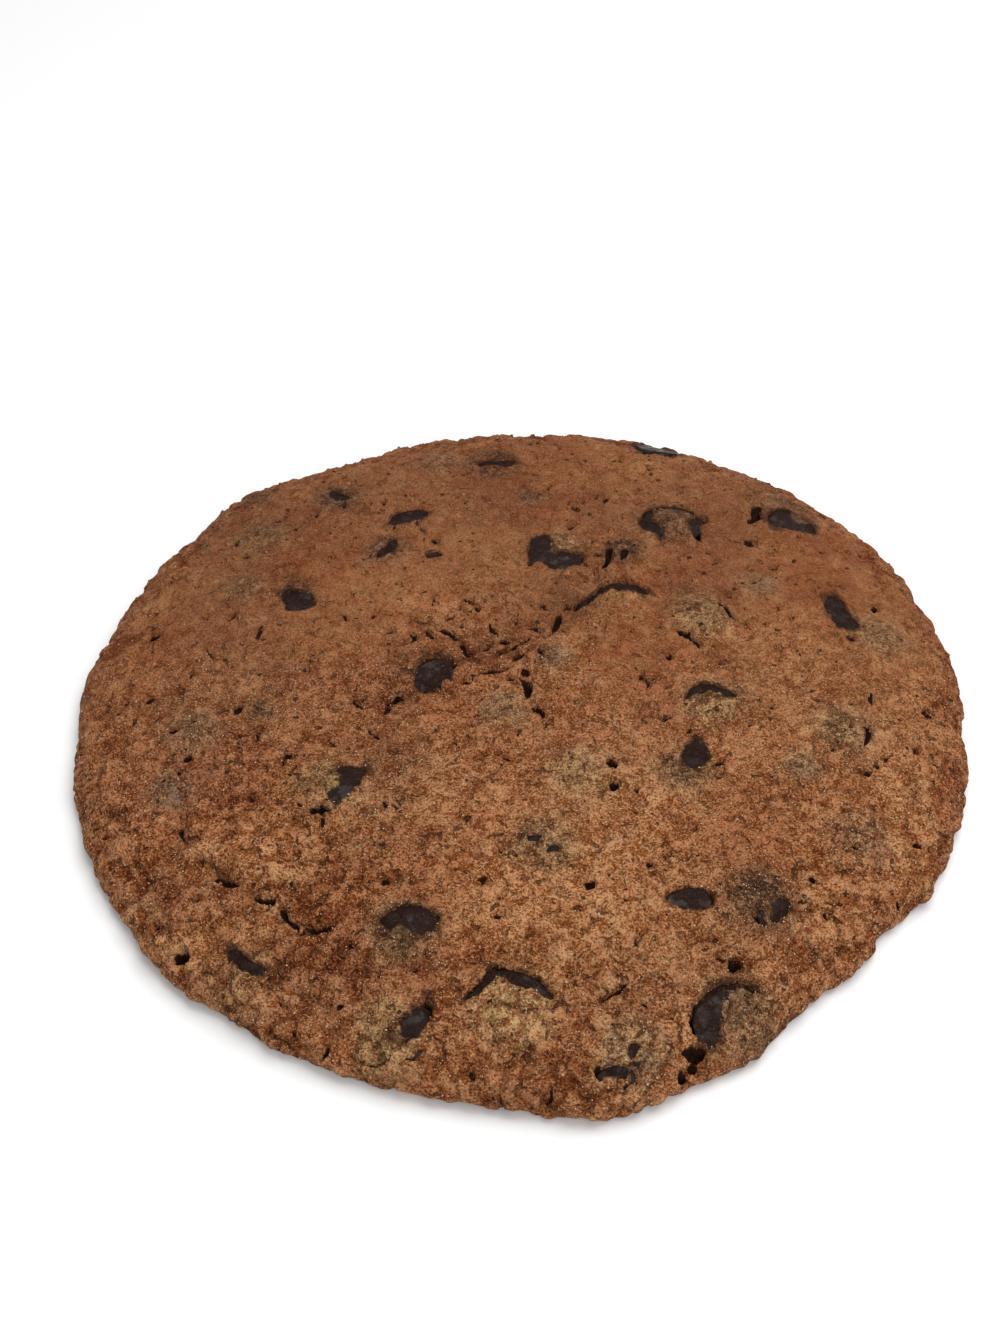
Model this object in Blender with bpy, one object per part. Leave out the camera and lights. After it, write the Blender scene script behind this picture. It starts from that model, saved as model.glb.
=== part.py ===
"""A round chocolate chip cookie, baked thin, with its chips fused to the dough.

The cookie lies flat. Its near edge is at -Y, and its underside is at z = 0.
Sizes below are in millimetres and angles in degrees, unless a name says otherwise.
"""

import math
import random

import bmesh
import bpy
from mathutils import Matrix, Vector, noise

MM = 0.001

# Driving sizes of the dough
RIM_RADIUS = 55.6
RIM_CENTRE = (0.3, 0.6)
EDGE_HEIGHT = 1.6
SHOULDER_RISE = 7.2
SHOULDER_POWER = 4.5
CROWN_RISE = 0.7
FOOT_INSET = 1.5

# Where the outline leaves a true circle: middle angle, spread, rise
RIM_SWELLS = (
    (38, 23, 1.5),
    (77, 16, 1.0),
    (95, 50, -1.1),
    (135, 7, 1.2),
    (279, 8.5, 1.9),
    (313, 16, -3.2),
    (345, 20, -1.1),
)

# Mesh density
GRID_CELLS = 50
GRID_SHARE = 0.965
SHOULDER_RINGS = 2
FOOT_RINGS = 2

# Natural unevenness of the crust: wavelength, height
CRUST_WAVES = (
    (21.0, 0.35),
    (7.5, 0.28),
    (3.6, 0.14),
)
CALM_EDGE = 0.16
EDGE_RELIEF = 0.35
RIM_WAVES = (
    (9.0, 0.5),
    (4.2, 0.3),
)
CRUMBLY_SIDE = (312, 26, 2.2)

# Dough raised over a chip or a thick place: x, y, width, rise
MOUNDS = (
    (-22.6, -17.7, 8.0, 1.25),
    (-13.2, -37.8, 7.5, 1.25),
    (-31.0, -41.8, 8.0, 1.12),
    (-14.2, -49.0, 7.0, 1.12),
    (-1.5, -46.8, 8.5, 1.5),
    (22.8, -4.6, 7.5, 1.25),
    (18.6, -15.4, 6.5, 0.88),
    (26.2, -33.0, 8.0, 1.25),
    (22.8, -46.0, 8.5, 1.38),
    (20.0, 28.8, 8.5, 1.38),
    (22.7, 10.4, 8.0, 1.25),
    (12.0, 12.3, 8.0, 1.12),
    (13.7, 23.0, 5.5, 0.88),
    (-41.0, -17.0, 5.5, 0.62),
    (-39.2, -8.3, 6.5, 0.62),
    (-2.0, -6.0, 6.5, 0.62),
    (6.7, -15.8, 7.5, 0.75),
    (2.3, -26.2, 7.5, 0.75),
    (11.2, -51.0, 7.0, 0.75),
    (38.5, -7.7, 8.0, 0.88),
    (32.7, -14.2, 5.0, 0.5),
    (38.5, -23.8, 7.5, 0.62),
    (45.0, 8.8, 7.5, 0.75),
    (-35.5, 17.0, 6.0, 0.5),
    (-10.8, 43.3, 6.0, 0.5),
    (-12.0, 15.0, 24.0, 0.7),
    (-33.0, -27.5, 11.0, 0.7),
    (36.0, 34.0, 9.0, 0.75),
)

# Long soft hollows in the crust: width, depth, then the places that they pass
FOLDS = (
    (6.0, 0.9, ((-15.0, -2.5), (-8.0, 4.5), (-1.0, 8.0), (5.5, 11.0), (8.0, 15.5))),
    (4.0, 0.7, ((-40.0, -22.0), (-38.5, -28.0))),
    (5.0, 0.7, ((-27.0, -40.0), (-19.0, -43.0))),
    (4.0, 0.7, ((5.0, -46.0), (12.0, -42.5))),
    (4.5, 0.6, ((10.0, 20.5), (10.5, 26.0))),
)

# Steepness of a mound's side, and how many half widths a mound or a fold reaches
MOUND_POWER = 2.6
MOUND_REACH = 2.0
FOLD_REACH = 2.5

# Chocolate that shows at the surface: x, y, length, width, turn, how proud it stands
CHIPS = (
    (-20.3, -17.6, 5.6, 4.4, 70, 0.6),
    (-12.2, -36.6, 6.4, 3.8, 15, 0.55),
    (-30.2, -39.7, 5.6, 2.8, -28, 0.45),
    (-11.8, -47.6, 5.2, 3.6, 35, 0.6),
    (23.0, -2.9, 6.2, 3.6, -15, 0.55),
    (20.0, -12.8, 5.6, 3.4, 80, 0.5),
    (18.0, -33.5, 4.4, 3.2, 10, 0.55),
    (27.9, -34.0, 4.0, 3.2, 40, 0.45),
    (20.4, -46.0, 6.8, 4.0, 50, 0.6),
    (9.2, -53.0, 4.2, 2.8, 15, 0.45),
    (4.6, 22.8, 7.0, 5.6, -45, 0.75),
    (17.4, 29.2, 6.6, 3.2, 80, 0.55),
    (36.2, 31.5, 5.6, 4.6, -25, 0.75),
    (31.6, 31.2, 3.8, 3.2, 60, 0.45),
    (40.8, 12.8, 5.8, 4.0, 80, 0.65),
    (23.4, 13.4, 5.4, 3.4, -10, 0.55),
    (11.8, 15.2, 6.6, 2.6, 0, 0.5),
    (-15.4, 30.2, 6.2, 4.0, 25, 0.65),
    (-17.3, 23.5, 4.6, 3.6, 50, 0.55),
    (-28.5, 14.5, 5.0, 4.2, -40, 0.65),
    (-24.6, 36.2, 4.2, 3.6, -60, 0.55),
    (-3.5, 43.6, 6.6, 3.6, 0, 0.6),
    (-10.8, 1.9, 5.0, 4.4, 60, 0.6),
    (19.5, 49.6, 6.0, 4.6, -20, 0.65),
)
CHIP_HEIGHT = 3.4

# Splits in the crust: x, y, length, width, depth, turn, bend
SPLITS = (
    (-23.3, -21.3, 4.0, 1.1, 1.2, 30, 0.5),
    (-2.5, -43.2, 9.0, 1.4, 1.6, 2, -3.0),
    (21.0, 6.3, 4.0, 1.2, 1.4, -35, -0.6),
    (27.2, 12.2, 5.6, 1.0, 1.1, -62, 0.8),
    (7.4, 14.0, 4.2, 1.2, 1.3, 45, 0.5),
    (0.4, -1.8, 4.6, 1.2, 1.7, 97, 0.4),
    (1.9, -5.6, 2.4, 1.3, 1.6, -35, 0.0),
    (-19.9, -4.0, 2.6, 1.0, 1.2, -60, 0.0),
    (-15.9, -4.2, 4.2, 1.2, 1.2, 60, 0.7),
    (-4.8, 6.4, 5.6, 1.1, 1.1, 35, -0.6),
    (-8.6, 10.0, 4.4, 0.9, 0.9, 80, 0.5),
    (2.8, 9.6, 4.8, 1.0, 1.0, 60, 0.6),
    (-27.0, -33.6, 5.6, 1.0, 1.0, -45, 0.6),
    (-22.4, -35.6, 3.6, 0.9, 0.9, -8, 0.4),
    (11.2, 22.3, 5.0, 1.2, 1.3, 85, 0.5),
    (23.4, 27.2, 5.0, 1.0, 1.1, 75, -1.0),
    (-18.9, 21.0, 3.0, 1.0, 1.0, 60, 0.3),
    (41.0, -8.6, 4.0, 1.1, 1.2, 80, 0.4),
    (9.4, -44.2, 4.0, 0.9, 1.0, 42, 0.3),
    (18.6, -50.2, 3.4, 1.8, 1.5, 20, 0.3),
    (-28.0, -13.8, 3.2, 0.8, 0.9, 85, 0.2),
    (-22.5, 10.8, 3.6, 0.8, 0.8, -50, 0.2),
    (-33.0, 8.5, 4.2, 0.8, 0.8, 82, 0.2),
)

# Open pits in the crust: x, y, width, depth
PITS = (
    (22.4, -41.0, 1.8, 1.4),
    (16.6, -52.3, 1.9, 1.4),
    (10.3, -14.4, 1.7, 1.3),
    (10.6, -17.6, 1.6, 1.2),
    (-39.6, -12.3, 1.4, 1.0),
    (-46.5, 9.6, 2.0, 1.4),
    (-37.5, -38.2, 2.0, 1.3),
    (45.5, 14.7, 1.5, 1.1),
    (32.1, -29.6, 1.6, 1.1),
    (36.5, -11.0, 1.5, 1.0),
    (40.3, -14.0, 1.8, 1.1),
    (45.4, -23.3, 1.5, 1.1),
    (34.4, -33.3, 2.0, 1.2),
    (30.4, 25.8, 2.0, 0.9),
    (-22.4, -28.6, 1.5, 1.0),
    (-11.0, 23.8, 2.2, 1.1),
)

DOUGH_COLOUR = (0.223, 0.092, 0.040)
CHOCOLATE_COLOUR = (0.014, 0.008, 0.007)


def away_from(angle, middle):
    """Shortest turn between two angles."""
    return (angle - middle + 180.0) % 360.0 - 180.0


def waves(place, table):
    """Smooth unevenness at a place, as the sum of a few wavelengths."""
    rise = 0.0
    for wavelength, height in table:
        rise += height * noise.noise(Vector(place) / wavelength)
    return rise


def rim_radius(angle):
    """Distance from the rim's centre to the widest part of the side."""
    radius = RIM_RADIUS
    for middle, spread, rise in RIM_SWELLS:
        radius += rise * math.exp(-((away_from(angle, middle) / spread) ** 2))
    return radius


def rim_lumps(angle, height):
    """How far the side bulges out at an angle and height."""
    middle, spread, strength = CRUMBLY_SIDE
    crumbly = 1.0 + (strength - 1.0) * math.exp(-((away_from(angle, middle) / spread) ** 2))
    turn = math.radians(angle)
    place = (RIM_RADIUS * math.cos(turn), RIM_RADIUS * math.sin(turn), height)
    return crumbly * waves(place, RIM_WAVES)


def distance_to_path(x, y, path):
    """Shortest distance from a place to a line through the path's places."""
    nearest = math.inf
    for (ax, ay), (bx, by) in zip(path, path[1:]):
        along_x = bx - ax
        along_y = by - ay
        share = ((x - ax) * along_x + (y - ay) * along_y) / (along_x**2 + along_y**2)
        share = min(1.0, max(0.0, share))
        nearest = min(nearest, math.hypot(x - ax - share * along_x, y - ay - share * along_y))
    return nearest


def shoulder_height(across):
    """Height of the even crust at a share of the way from the middle to the rim."""
    rounded = math.sqrt(max(0.0, 1.0 - across**SHOULDER_POWER))
    return EDGE_HEIGHT + SHOULDER_RISE * rounded + CROWN_RISE * (1.0 - across)


def crust_relief(x, y):
    """Rise of mounds, fall of folds and the crust's own unevenness."""
    rise = waves((x, y, 0.0), CRUST_WAVES)
    for mound_x, mound_y, width, height in MOUNDS:
        share = math.hypot(x - mound_x, y - mound_y) / (width / 2.0)
        if share < MOUND_REACH:
            rise += height * math.exp(-(share**MOUND_POWER))
    for width, depth, path in FOLDS:
        share = distance_to_path(x, y, path) / (width / 2.0)
        if share < FOLD_REACH:
            rise -= depth * math.exp(-(share**2))
    return rise


def crust_height(x, y):
    """Height of the finished crust at a place."""
    from_x = x - RIM_CENTRE[0]
    from_y = y - RIM_CENTRE[1]
    angle = math.degrees(math.atan2(from_y, from_x))
    across = min(1.0, math.hypot(from_x, from_y) / rim_radius(angle))
    inner = min(1.0, (1.0 - across) / CALM_EDGE)
    strength = EDGE_RELIEF + (1.0 - EDGE_RELIEF) * inner
    return shoulder_height(across) + strength * crust_relief(x, y)


def square_to_disc(u, v):
    """Even map from a square of half side 1 to a disc: angle in degrees, share of radius."""
    if u == 0.0 and v == 0.0:
        return 0.0, 0.0
    if abs(u) >= abs(v):
        angle = 45.0 * v / u
        return (angle if u > 0.0 else angle + 180.0), abs(u)
    angle = 90.0 - 45.0 * u / v
    return (angle if v > 0.0 else angle + 180.0), abs(v)


def at_rim(angle, radius, height):
    """Place at an angle and radius round the rim's centre."""
    turn = math.radians(angle)
    x = RIM_CENTRE[0] + radius * math.cos(turn)
    y = RIM_CENTRE[1] + radius * math.sin(turn)
    return Vector((x, y, height))


def side_rings():
    """Share of the radius, inset and height of each ring from the shoulder to the foot."""
    rings = []
    for step in range(1, SHOULDER_RINGS + 1):
        bend = step / SHOULDER_RINGS
        across = GRID_SHARE + (1.0 - GRID_SHARE) * math.sin(math.pi / 2.0 * bend)
        rings.append((across, 0.0, shoulder_height(across)))
    for step in range(1, FOOT_RINGS + 1):
        bend = math.pi / 2.0 * step / FOOT_RINGS
        inset = FOOT_INSET * (1.0 - math.cos(bend))
        rings.append((1.0, inset, EDGE_HEIGHT * (1.0 - math.sin(bend))))
    return rings


def make_dough_mesh():
    """Crust from an even grid, then the side ring by ring, then the flat underside."""
    shape = bmesh.new()
    bmesh.ops.create_grid(shape, x_segments=GRID_CELLS, y_segments=GRID_CELLS, size=1.0)
    angle_of = shape.verts.layers.float.new("angle")
    for vertex in shape.verts:
        angle, share = square_to_disc(vertex.co.x, vertex.co.y)
        radius = share * GRID_SHARE * rim_radius(angle)
        radius += share**8 * rim_lumps(angle, EDGE_HEIGHT + SHOULDER_RISE)
        vertex.co = at_rim(angle, radius, 0.0)
        vertex.co.z = crust_height(vertex.co.x, vertex.co.y)
        vertex[angle_of] = angle
    border = [edge for edge in shape.edges if edge.is_boundary]
    for across, inset, height in side_rings():
        made = bmesh.ops.extrude_edge_only(shape, edges=border)["geom"]
        for vertex in [item for item in made if isinstance(item, bmesh.types.BMVert)]:
            angle = vertex[angle_of]
            radius = across * rim_radius(angle) - inset + rim_lumps(angle, height)
            vertex.co = at_rim(angle, radius, height)
        border = [edge for edge in shape.edges if edge.is_boundary]
    bmesh.ops.contextual_create(shape, geom=border)
    shape.verts.layers.float.remove(angle_of)
    bmesh.ops.recalc_face_normals(shape, faces=shape.faces)
    return shape


def finish_mesh(shape, name):
    """Turn a shape in millimetres into a mesh in metres."""
    bmesh.ops.scale(shape, vec=(MM, MM, MM), verts=shape.verts)
    mesh = bpy.data.meshes.new(name)
    shape.to_mesh(mesh)
    shape.free()
    return mesh


def make_lens(name, place, length, width, thickness, turn, bend=0.0, rounds=2, uneven=0.0):
    """A drop-like lump or hollow: long, bent to one side and a little uneven."""
    shape = bmesh.new()
    bmesh.ops.create_icosphere(shape, subdivisions=rounds, radius=1.0)
    draw = random.Random(name)
    for vertex in shape.verts:
        swell = 1.0 + uneven * draw.uniform(-1.0, 1.0)
        side_step = bend * (vertex.co.x**2 - 0.5)
        vertex.co.x *= length / 2.0 * swell
        vertex.co.y = vertex.co.y * width / 2.0 * swell + side_step
        vertex.co.z *= thickness / 2.0
    bmesh.ops.rotate(shape, verts=shape.verts, matrix=Matrix.Rotation(math.radians(turn), 3, "Z"))
    lump = bpy.data.objects.new(name, finish_mesh(shape, name))
    lump.location = Vector(place) * MM
    return lump


def make_material(name, colour, roughness):
    """A plain food finish."""
    material = bpy.data.materials.new(name)
    material.use_nodes = True
    shader = material.node_tree.nodes["Principled BSDF"]
    shader.inputs["Base Color"].default_value = (*colour, 1.0)
    shader.inputs["Roughness"].default_value = roughness
    shader.inputs["Metallic"].default_value = 0.0
    return material


def make_collection(name):
    """A new collection in the scene."""
    collection = bpy.data.collections.new(name)
    bpy.context.scene.collection.children.link(collection)
    return collection


def add_chips(collection, chocolate):
    """Chips sunk in the crust, each with its crown just proud of it."""
    for number, (x, y, length, width, turn, proud) in enumerate(CHIPS, start=1):
        place = (x, y, crust_height(x, y) + proud - CHIP_HEIGHT / 2.0)
        chip = make_lens(f"chip_{number}", place, length, width, CHIP_HEIGHT, turn, uneven=0.06)
        chip.data.materials.append(chocolate)
        collection.objects.link(chip)


def add_cutters(collection):
    """Hollow shapes of the splits and pits, which are cut from the crust."""
    for number, (x, y, length, width, depth, turn, bend) in enumerate(SPLITS, start=1):
        place = (x, y, crust_height(x, y))
        collection.objects.link(
            make_lens(f"split_{number}", place, length, width, 2.0 * depth, turn, bend, uneven=0.12)
        )
    for number, (x, y, width, depth) in enumerate(PITS, start=1):
        place = (x, y, crust_height(x, y))
        collection.objects.link(
            make_lens(f"pit_{number}", place, width, width, 2.0 * depth, 0.0, rounds=1)
        )
    for cutter in collection.objects:
        cutter.hide_render = True
        cutter.display_type = "WIRE"


def apply_boolean(piece, collection, operation):
    """Join or cut with a whole collection, then remove its objects."""
    modifier = piece.modifiers.new(operation.title(), "BOOLEAN")
    modifier.operand_type = "COLLECTION"
    modifier.collection = collection
    modifier.operation = operation
    modifier.solver = "EXACT"
    modifier.material_mode = "TRANSFER"
    bpy.context.view_layer.update()
    evaluated = piece.evaluated_get(bpy.context.evaluated_depsgraph_get())
    result = bpy.data.meshes.new_from_object(evaluated)
    piece.modifiers.clear()
    piece.data = result
    for used in list(collection.objects):
        bpy.data.objects.remove(used)
    bpy.data.collections.remove(collection)


def keep_one_body(mesh):
    """Drop loose scraps, so that only the largest closed body stays."""
    shape = bmesh.new()
    shape.from_mesh(mesh)
    bmesh.ops.remove_doubles(shape, verts=shape.verts, dist=0.001 * MM)
    unseen = set(shape.verts)
    bodies = []
    while unseen:
        reached = [unseen.pop()]
        body = []
        while reached:
            vertex = reached.pop()
            body.append(vertex)
            for edge in vertex.link_edges:
                other = edge.other_vert(vertex)
                if other in unseen:
                    unseen.remove(other)
                    reached.append(other)
        bodies.append(body)
    bodies.sort(key=len)
    for body in bodies[:-1]:
        bmesh.ops.delete(shape, geom=body, context="VERTS")
    bmesh.ops.triangulate(shape, faces=shape.faces)
    shape.to_mesh(mesh)
    shape.free()


def centre_on_origin(mesh):
    """Put the middle of the underside's box at the origin."""
    shift = Vector()
    for axis in (0, 1):
        places = [vertex.co[axis] for vertex in mesh.vertices]
        shift[axis] = -(min(places) + max(places)) / 2.0
    mesh.transform(Matrix.Translation(shift))


def main():
    for leftover in list(bpy.data.objects):
        bpy.data.objects.remove(leftover)
    parts = make_collection("chocolate_chip_cookie")
    chips = make_collection("chips")
    cutters = make_collection("cutters")
    dough = make_material("baked_dough", DOUGH_COLOUR, 0.8)
    chocolate = make_material("chocolate", CHOCOLATE_COLOUR, 0.4)

    cookie = bpy.data.objects.new("cookie", finish_mesh(make_dough_mesh(), "cookie"))
    cookie.data.materials.append(dough)
    parts.objects.link(cookie)

    add_chips(chips, chocolate)
    apply_boolean(cookie, chips, "UNION")
    add_cutters(cutters)
    apply_boolean(cookie, cutters, "DIFFERENCE")
    keep_one_body(cookie.data)
    centre_on_origin(cookie.data)
    cookie.data.shade_smooth()
    cookie.data.set_sharp_from_angle(angle=math.radians(40.0))


main()
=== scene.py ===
"""A baked chocolate chip cookie: crust, underside, chips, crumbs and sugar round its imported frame.

Feature places below are in millimetres, seen from above with the near edge at -Y, and angles are
in degrees. Finished meshes are in metres.
"""

import math
import random

import bpy
import numpy as np
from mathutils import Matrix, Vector, noise


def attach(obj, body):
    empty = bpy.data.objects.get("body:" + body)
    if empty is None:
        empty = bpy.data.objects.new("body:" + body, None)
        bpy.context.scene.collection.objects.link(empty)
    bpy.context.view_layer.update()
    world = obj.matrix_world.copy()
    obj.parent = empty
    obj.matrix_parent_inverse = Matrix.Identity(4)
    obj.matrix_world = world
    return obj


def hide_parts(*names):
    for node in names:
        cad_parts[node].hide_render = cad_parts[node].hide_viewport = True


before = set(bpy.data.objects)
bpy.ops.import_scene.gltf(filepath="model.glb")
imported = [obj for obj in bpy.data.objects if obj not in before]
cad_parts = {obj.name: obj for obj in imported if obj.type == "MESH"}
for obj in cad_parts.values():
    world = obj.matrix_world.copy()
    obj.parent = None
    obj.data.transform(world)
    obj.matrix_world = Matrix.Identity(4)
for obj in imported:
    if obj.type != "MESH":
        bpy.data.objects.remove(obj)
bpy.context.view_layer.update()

bl_info = {
    "name": "Chocolate Chip Cookie",
    "version": (1, 0, 0),
    "blender": (4, 5, 0),
    "location": "View3D > Sidebar > Cookie",
    "description": "Builds a baked chocolate chip cookie with its crust, chips, crumbs and sugar",
    "category": "Object",
}

MM = 0.001

# The outline's centre, and where it leaves a true circle: middle angle, spread, rise
RIM_CENTRE = (0.3, 0.6)
RIM_SWELLS = (
    (38, 23, 1.5), (77, 16, 1), (95, 50, -1.1), (135, 7, 1.2), (279, 8.5, 1.9), (313, 16, -3.2),
    (345, 20, -1.1),
)
RIM_WAVES = ((9.0, 0.5), (4.2, 0.3))
CRUMBLY_SIDE = (312, 26, 2.2)

# The crust's own unevenness: wavelength, height
CRUST_WAVES = ((21.0, 0.35), (8.5, 0.36), (4.2, 0.2))

# Near the rim the relief fades over this share of the radius, and this much of it is left there
CALM_EDGE = 0.16
EDGE_RELIEF = 0.35

# The lumps at the rim fade inwards with this power of the radius
RIM_LUMP_POWER = 8

# Crumbly lumps of the crust and the seams between them: sizes, heights, depth and wandering
CRAG_SIZE = 2.6
CRAG_HEIGHT = 0.42
SWELL_SIZE = 4.0
SWELL_HEIGHT = 0.24
CRUMB_SIZE = 1.2
CRUMB_HEIGHT = 0.2
SEAM_DEPTH = 0.22
CRAG_WANDER = 0.7

# How crumbly the crust is: everywhere, at the rim, by chance, and the limits of the sum
CRUMBLY_SHARES = (0.35, 0.6, 0.5)
CRUMBLY_LIMITS = (0.1, 1.5)

# Fine grit on the crust: sizes and heights
GRIT_SIZE = 1.2
GRIT_HEIGHT = 0.11
SPECK_SIZE = 0.75
SPECK_HEIGHT = 0.06

# Small pores, drawn at random: ranges of width, depth and stretch, and how far a pore may reach
PORE_WIDTHS = (0.5, 1.0)
PORE_DEPTHS = (0.3, 0.9)
PORE_STRETCHES = (1.0, 2.2)
PORE_REACH = 1.5

# How far out, as a share of its half width, a hollow's wall starts and ends, and the painted shade round an
# opening
SPLIT_WALL = (0.3, 1.2)
PIT_WALL = (0.5, 1.25)
PORE_WALL = (0.4, 1.1)
WINDOW_WALL = (0.85, 1.12)
SHADE_HALO_WALL = (1.0, 1.9)

# How far fine and coarse noise each tear the wall of a hollow, as the same share, more for pits
RAGGED_EDGE = 0.2
PIT_RAGGEDNESS = 1.4

# A bent lens stops bending this far along, as a share of its half length
BEND_REACH = 1.2

# The crust is closed over the underside, this high above the floor and this far in from its foot
CAP_HEIGHT = 0.9
CAP_INSET = 0.8

# The underside stands out under the crust's foot, and its rings step in and up from its edge
UNDERSIDE_RINGS = 2
UNDERSIDE_OVERLAP = 0.12
RING_STEP_IN = 0.08
RING_STEP_UP = 0.22
UNDERSIDE_CELL_RISE = 0.07
UNDERSIDE_WAVE_RISE = 0.05
UNDERSIDE_PIT_SHARE = 0.6

# Dough raised over a chip or a thick place: x, y, width, rise, pale tint, grey tint, dark tint
MOUNDS = (
    (-22.6, -17.7, 8, 1.25, 0.65, 0, 0.5), (-13.2, -37.8, 7.5, 1.25, 0.5, 0.3, 1),
    (-31, -41.8, 8, 1.12, 0.3, 0, 0.5), (-14.2, -49, 7, 1.12, 1.3, 0.1, 0.4),
    (-1.5, -46.8, 8.5, 1.5, 1.25, 0, 0.1), (22.8, -4.6, 7.5, 1.25, 0.9, 0.1, 0.6),
    (18.6, -15.4, 6.5, 0.88, 0.6, 0.3, 0.9), (26.2, -33, 8, 1.25, 0.2, 0.2, 1),
    (22.8, -46, 8.5, 1.38, 0.65, 0.4, 0.75), (20, 28.8, 8.5, 1.38, 0.2, 0.4, 0.9),
    (22.7, 10.4, 8, 1.25, 0.9, 0.2, 0.6), (12, 12.3, 8, 1.12, 0.3, 0, 0),
    (13.7, 23, 5.5, 0.88, 0, 0.3, 1.2), (-41, -17, 5.5, 0.62, 0.2, 1, 0.4),
    (-39.2, -8.3, 6.5, 0.62, 0.4, 0.6, 0.4), (-2, -6, 6.5, 0.62, 0.7, 0.5, 0.4),
    (6.7, -15.8, 7.5, 0.75, 0.9, 0.2, 0.4), (2.3, -26.2, 7.5, 0.75, 0.8, 0.3, 0.6),
    (11.2, -51, 7, 0.75, 0.9, 0.9, 0.2), (38.5, -7.7, 8, 0.88, 0.6, 0.2, 0.7),
    (32.7, -14.2, 5, 0.5, 0.6, 0.8, 0.2), (38.5, -23.8, 7.5, 0.62, 0.1, 0.5, 0.6),
    (45, 8.8, 7.5, 0.75, 0.6, 0.3, 0.6), (-35.5, 17, 6, 0.5, 0.3, 0.3, 0.5),
    (-10.8, 43.3, 6, 0.5, 0.2, 0.3, 0.7), (-12, 15, 24, 0.7, 0, 0, 0), (-37.8, -26.4, 3, 0.5, 0, 0, 0),
    (-33.4, -27.8, 5, 0.7, 0, 0, 0), (-30.2, -29.2, 5, 0.7, 0, 0, 0), (36, 34, 9, 0.75, 0.1, 0.5, 0.5),
    (-31.5, -5.4, 3.5, 0.3, 0.3, 0.5, 0.7), (3.8, 3, 4.5, 0.3, 0.4, 0.9, 0.3),
    (30.8, 17, 5, 0.3, 0.3, 0.6, 0.5), (-34, 28, 7, 0.3, 0.3, 0.2, 0.5), (-24.8, 35.8, 6, 0.3, 0, 0.8, 0.9),
    (-17.6, 23.4, 6, 0.5, 0, 0.5, 1), (-3.8, 43, 8, 0.3, 0, 0.2, 1), (-28.6, 15.6, 5, 0.3, 0, 0.3, 0.9),
    (5, 23.8, 6, 0.6, 0.7, 0.3, 0.6), (1.5, 34.2, 4, 0.2, 0.2, 0.4, 0.8), (-36, 38, 5, 0.2, 0.1, 0.5, 0.6),
)
MOUND_POWER = 2.6
COVER_POWER = 3

# Thin dough left over part of an opened chip: x, y, width
FILMS = (
    (-23.4, -17.2, 4.6), (-13.6, -40, 4.8), (-14.8, -49.4, 4.8), (-1.6, -47.2, 6), (23.4, -46.2, 5.6),
    (26, -32.8, 4), (22.6, -5.6, 5), (17.8, -16, 3.6), (5.2, 23.9, 3.2), (20.5, 28.8, 4.6), (22.7, 10.4, 6),
    (38, 32.4, 3),
)

# Crumbly stretches of crust: x, y, width, strength
CRUMBLY_PLACES = (
    (-33, -29, 26, 0.8), (-20, -39, 22, 0.6), (-4, 5, 20, 0.7), (8, -48, 26, 0.6), (36, -30, 20, 0.5),
    (-15, -1, 10, 0.6), (13, 22, 12, 0.5), (-45, -12, 14, 0.3), (-8, -52, 20, 0.4),
)

# Long soft hollows in the crust: width, depth, then the places that they pass
FOLDS = (
    (6, 1.1, ((-15, -2.5), (-8, 4.5), (-1, 8), (5.5, 11), (8, 15.5))),
    (3, 0.5, ((-16, 3.5), (-12, -1), (-9, -2.5))),
    (3, 0.5, ((-6, 8), (-2, 3), (2, 0))),
    (3.2, 0.8, ((-39.8, -19.5), (-39.8, -24), (-38.6, -28))),
    (3, 0.9, ((-35.5, -28.8), (-31, -31.5), (-27, -33), (-24.5, -36.2), (-20.5, -36.2))),
    (4, 0.8, ((-28, -41.8), (-24, -42.6), (-19, -43.6))),
    (4, 0.7, ((5, -46), (12, -42.5))),
    (4.5, 0.6, ((10, 20.5), (10.5, 26))),
)

# Chips at the surface: x, y, length, width, turn, how far under the crust's own level
CHIPS = (
    (-20.8, -17.8, 7.8, 6, 65, 0.15), (-12.6, -37.6, 7.6, 6, 10, 0.25), (-29.8, -40, 6, 3.2, -36, 0.5),
    (-12.8, -48.6, 7.4, 5.8, 45, 0.25), (-2, -45.6, 9.6, 7, 4, 0.7), (22.9, -4, 7.4, 5, -8, 0.3),
    (19.9, -13.2, 6.8, 4.6, 78, 0.2), (18, -33.6, 5.8, 4.4, 6, 0.1), (27.6, -34.4, 5.6, 4.6, 40, 0.25),
    (21.2, -46.2, 8.6, 7.2, 60, 0.35), (9.3, -53.2, 4.4, 3, 10, 0.55), (11.2, -51, 3, 2.6, 10, 0.5),
    (4, 22.6, 8.8, 7.4, -40, 0.2), (20, 28.8, 9, 8, 20, 0.3), (36.2, 31.2, 7, 5.6, -20, 0.1),
    (40.7, 12.6, 8, 5.4, -72, 0.2), (11.6, 14.4, 9, 5.2, 12, 0.45), (-15.4, 30, 7.6, 5, 25, 0.2),
    (-17.5, 23, 6.4, 4.2, 60, 0.25), (-11.3, 22.2, 3.8, 3.2, 20, 0.3), (-28.3, 14.3, 6.6, 5.2, -38, 0.2),
    (-24.6, 36.2, 5.8, 4.4, -55, 0.15), (-3.5, 43.2, 7.8, 5, 0, 0.2), (-10.8, 1.8, 6, 6, 0, 0.25),
    (19.5, 49.4, 6.6, 5.8, -20, 0), (2, -26.4, 5.4, 4.4, -35, 0.2),
)

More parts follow.
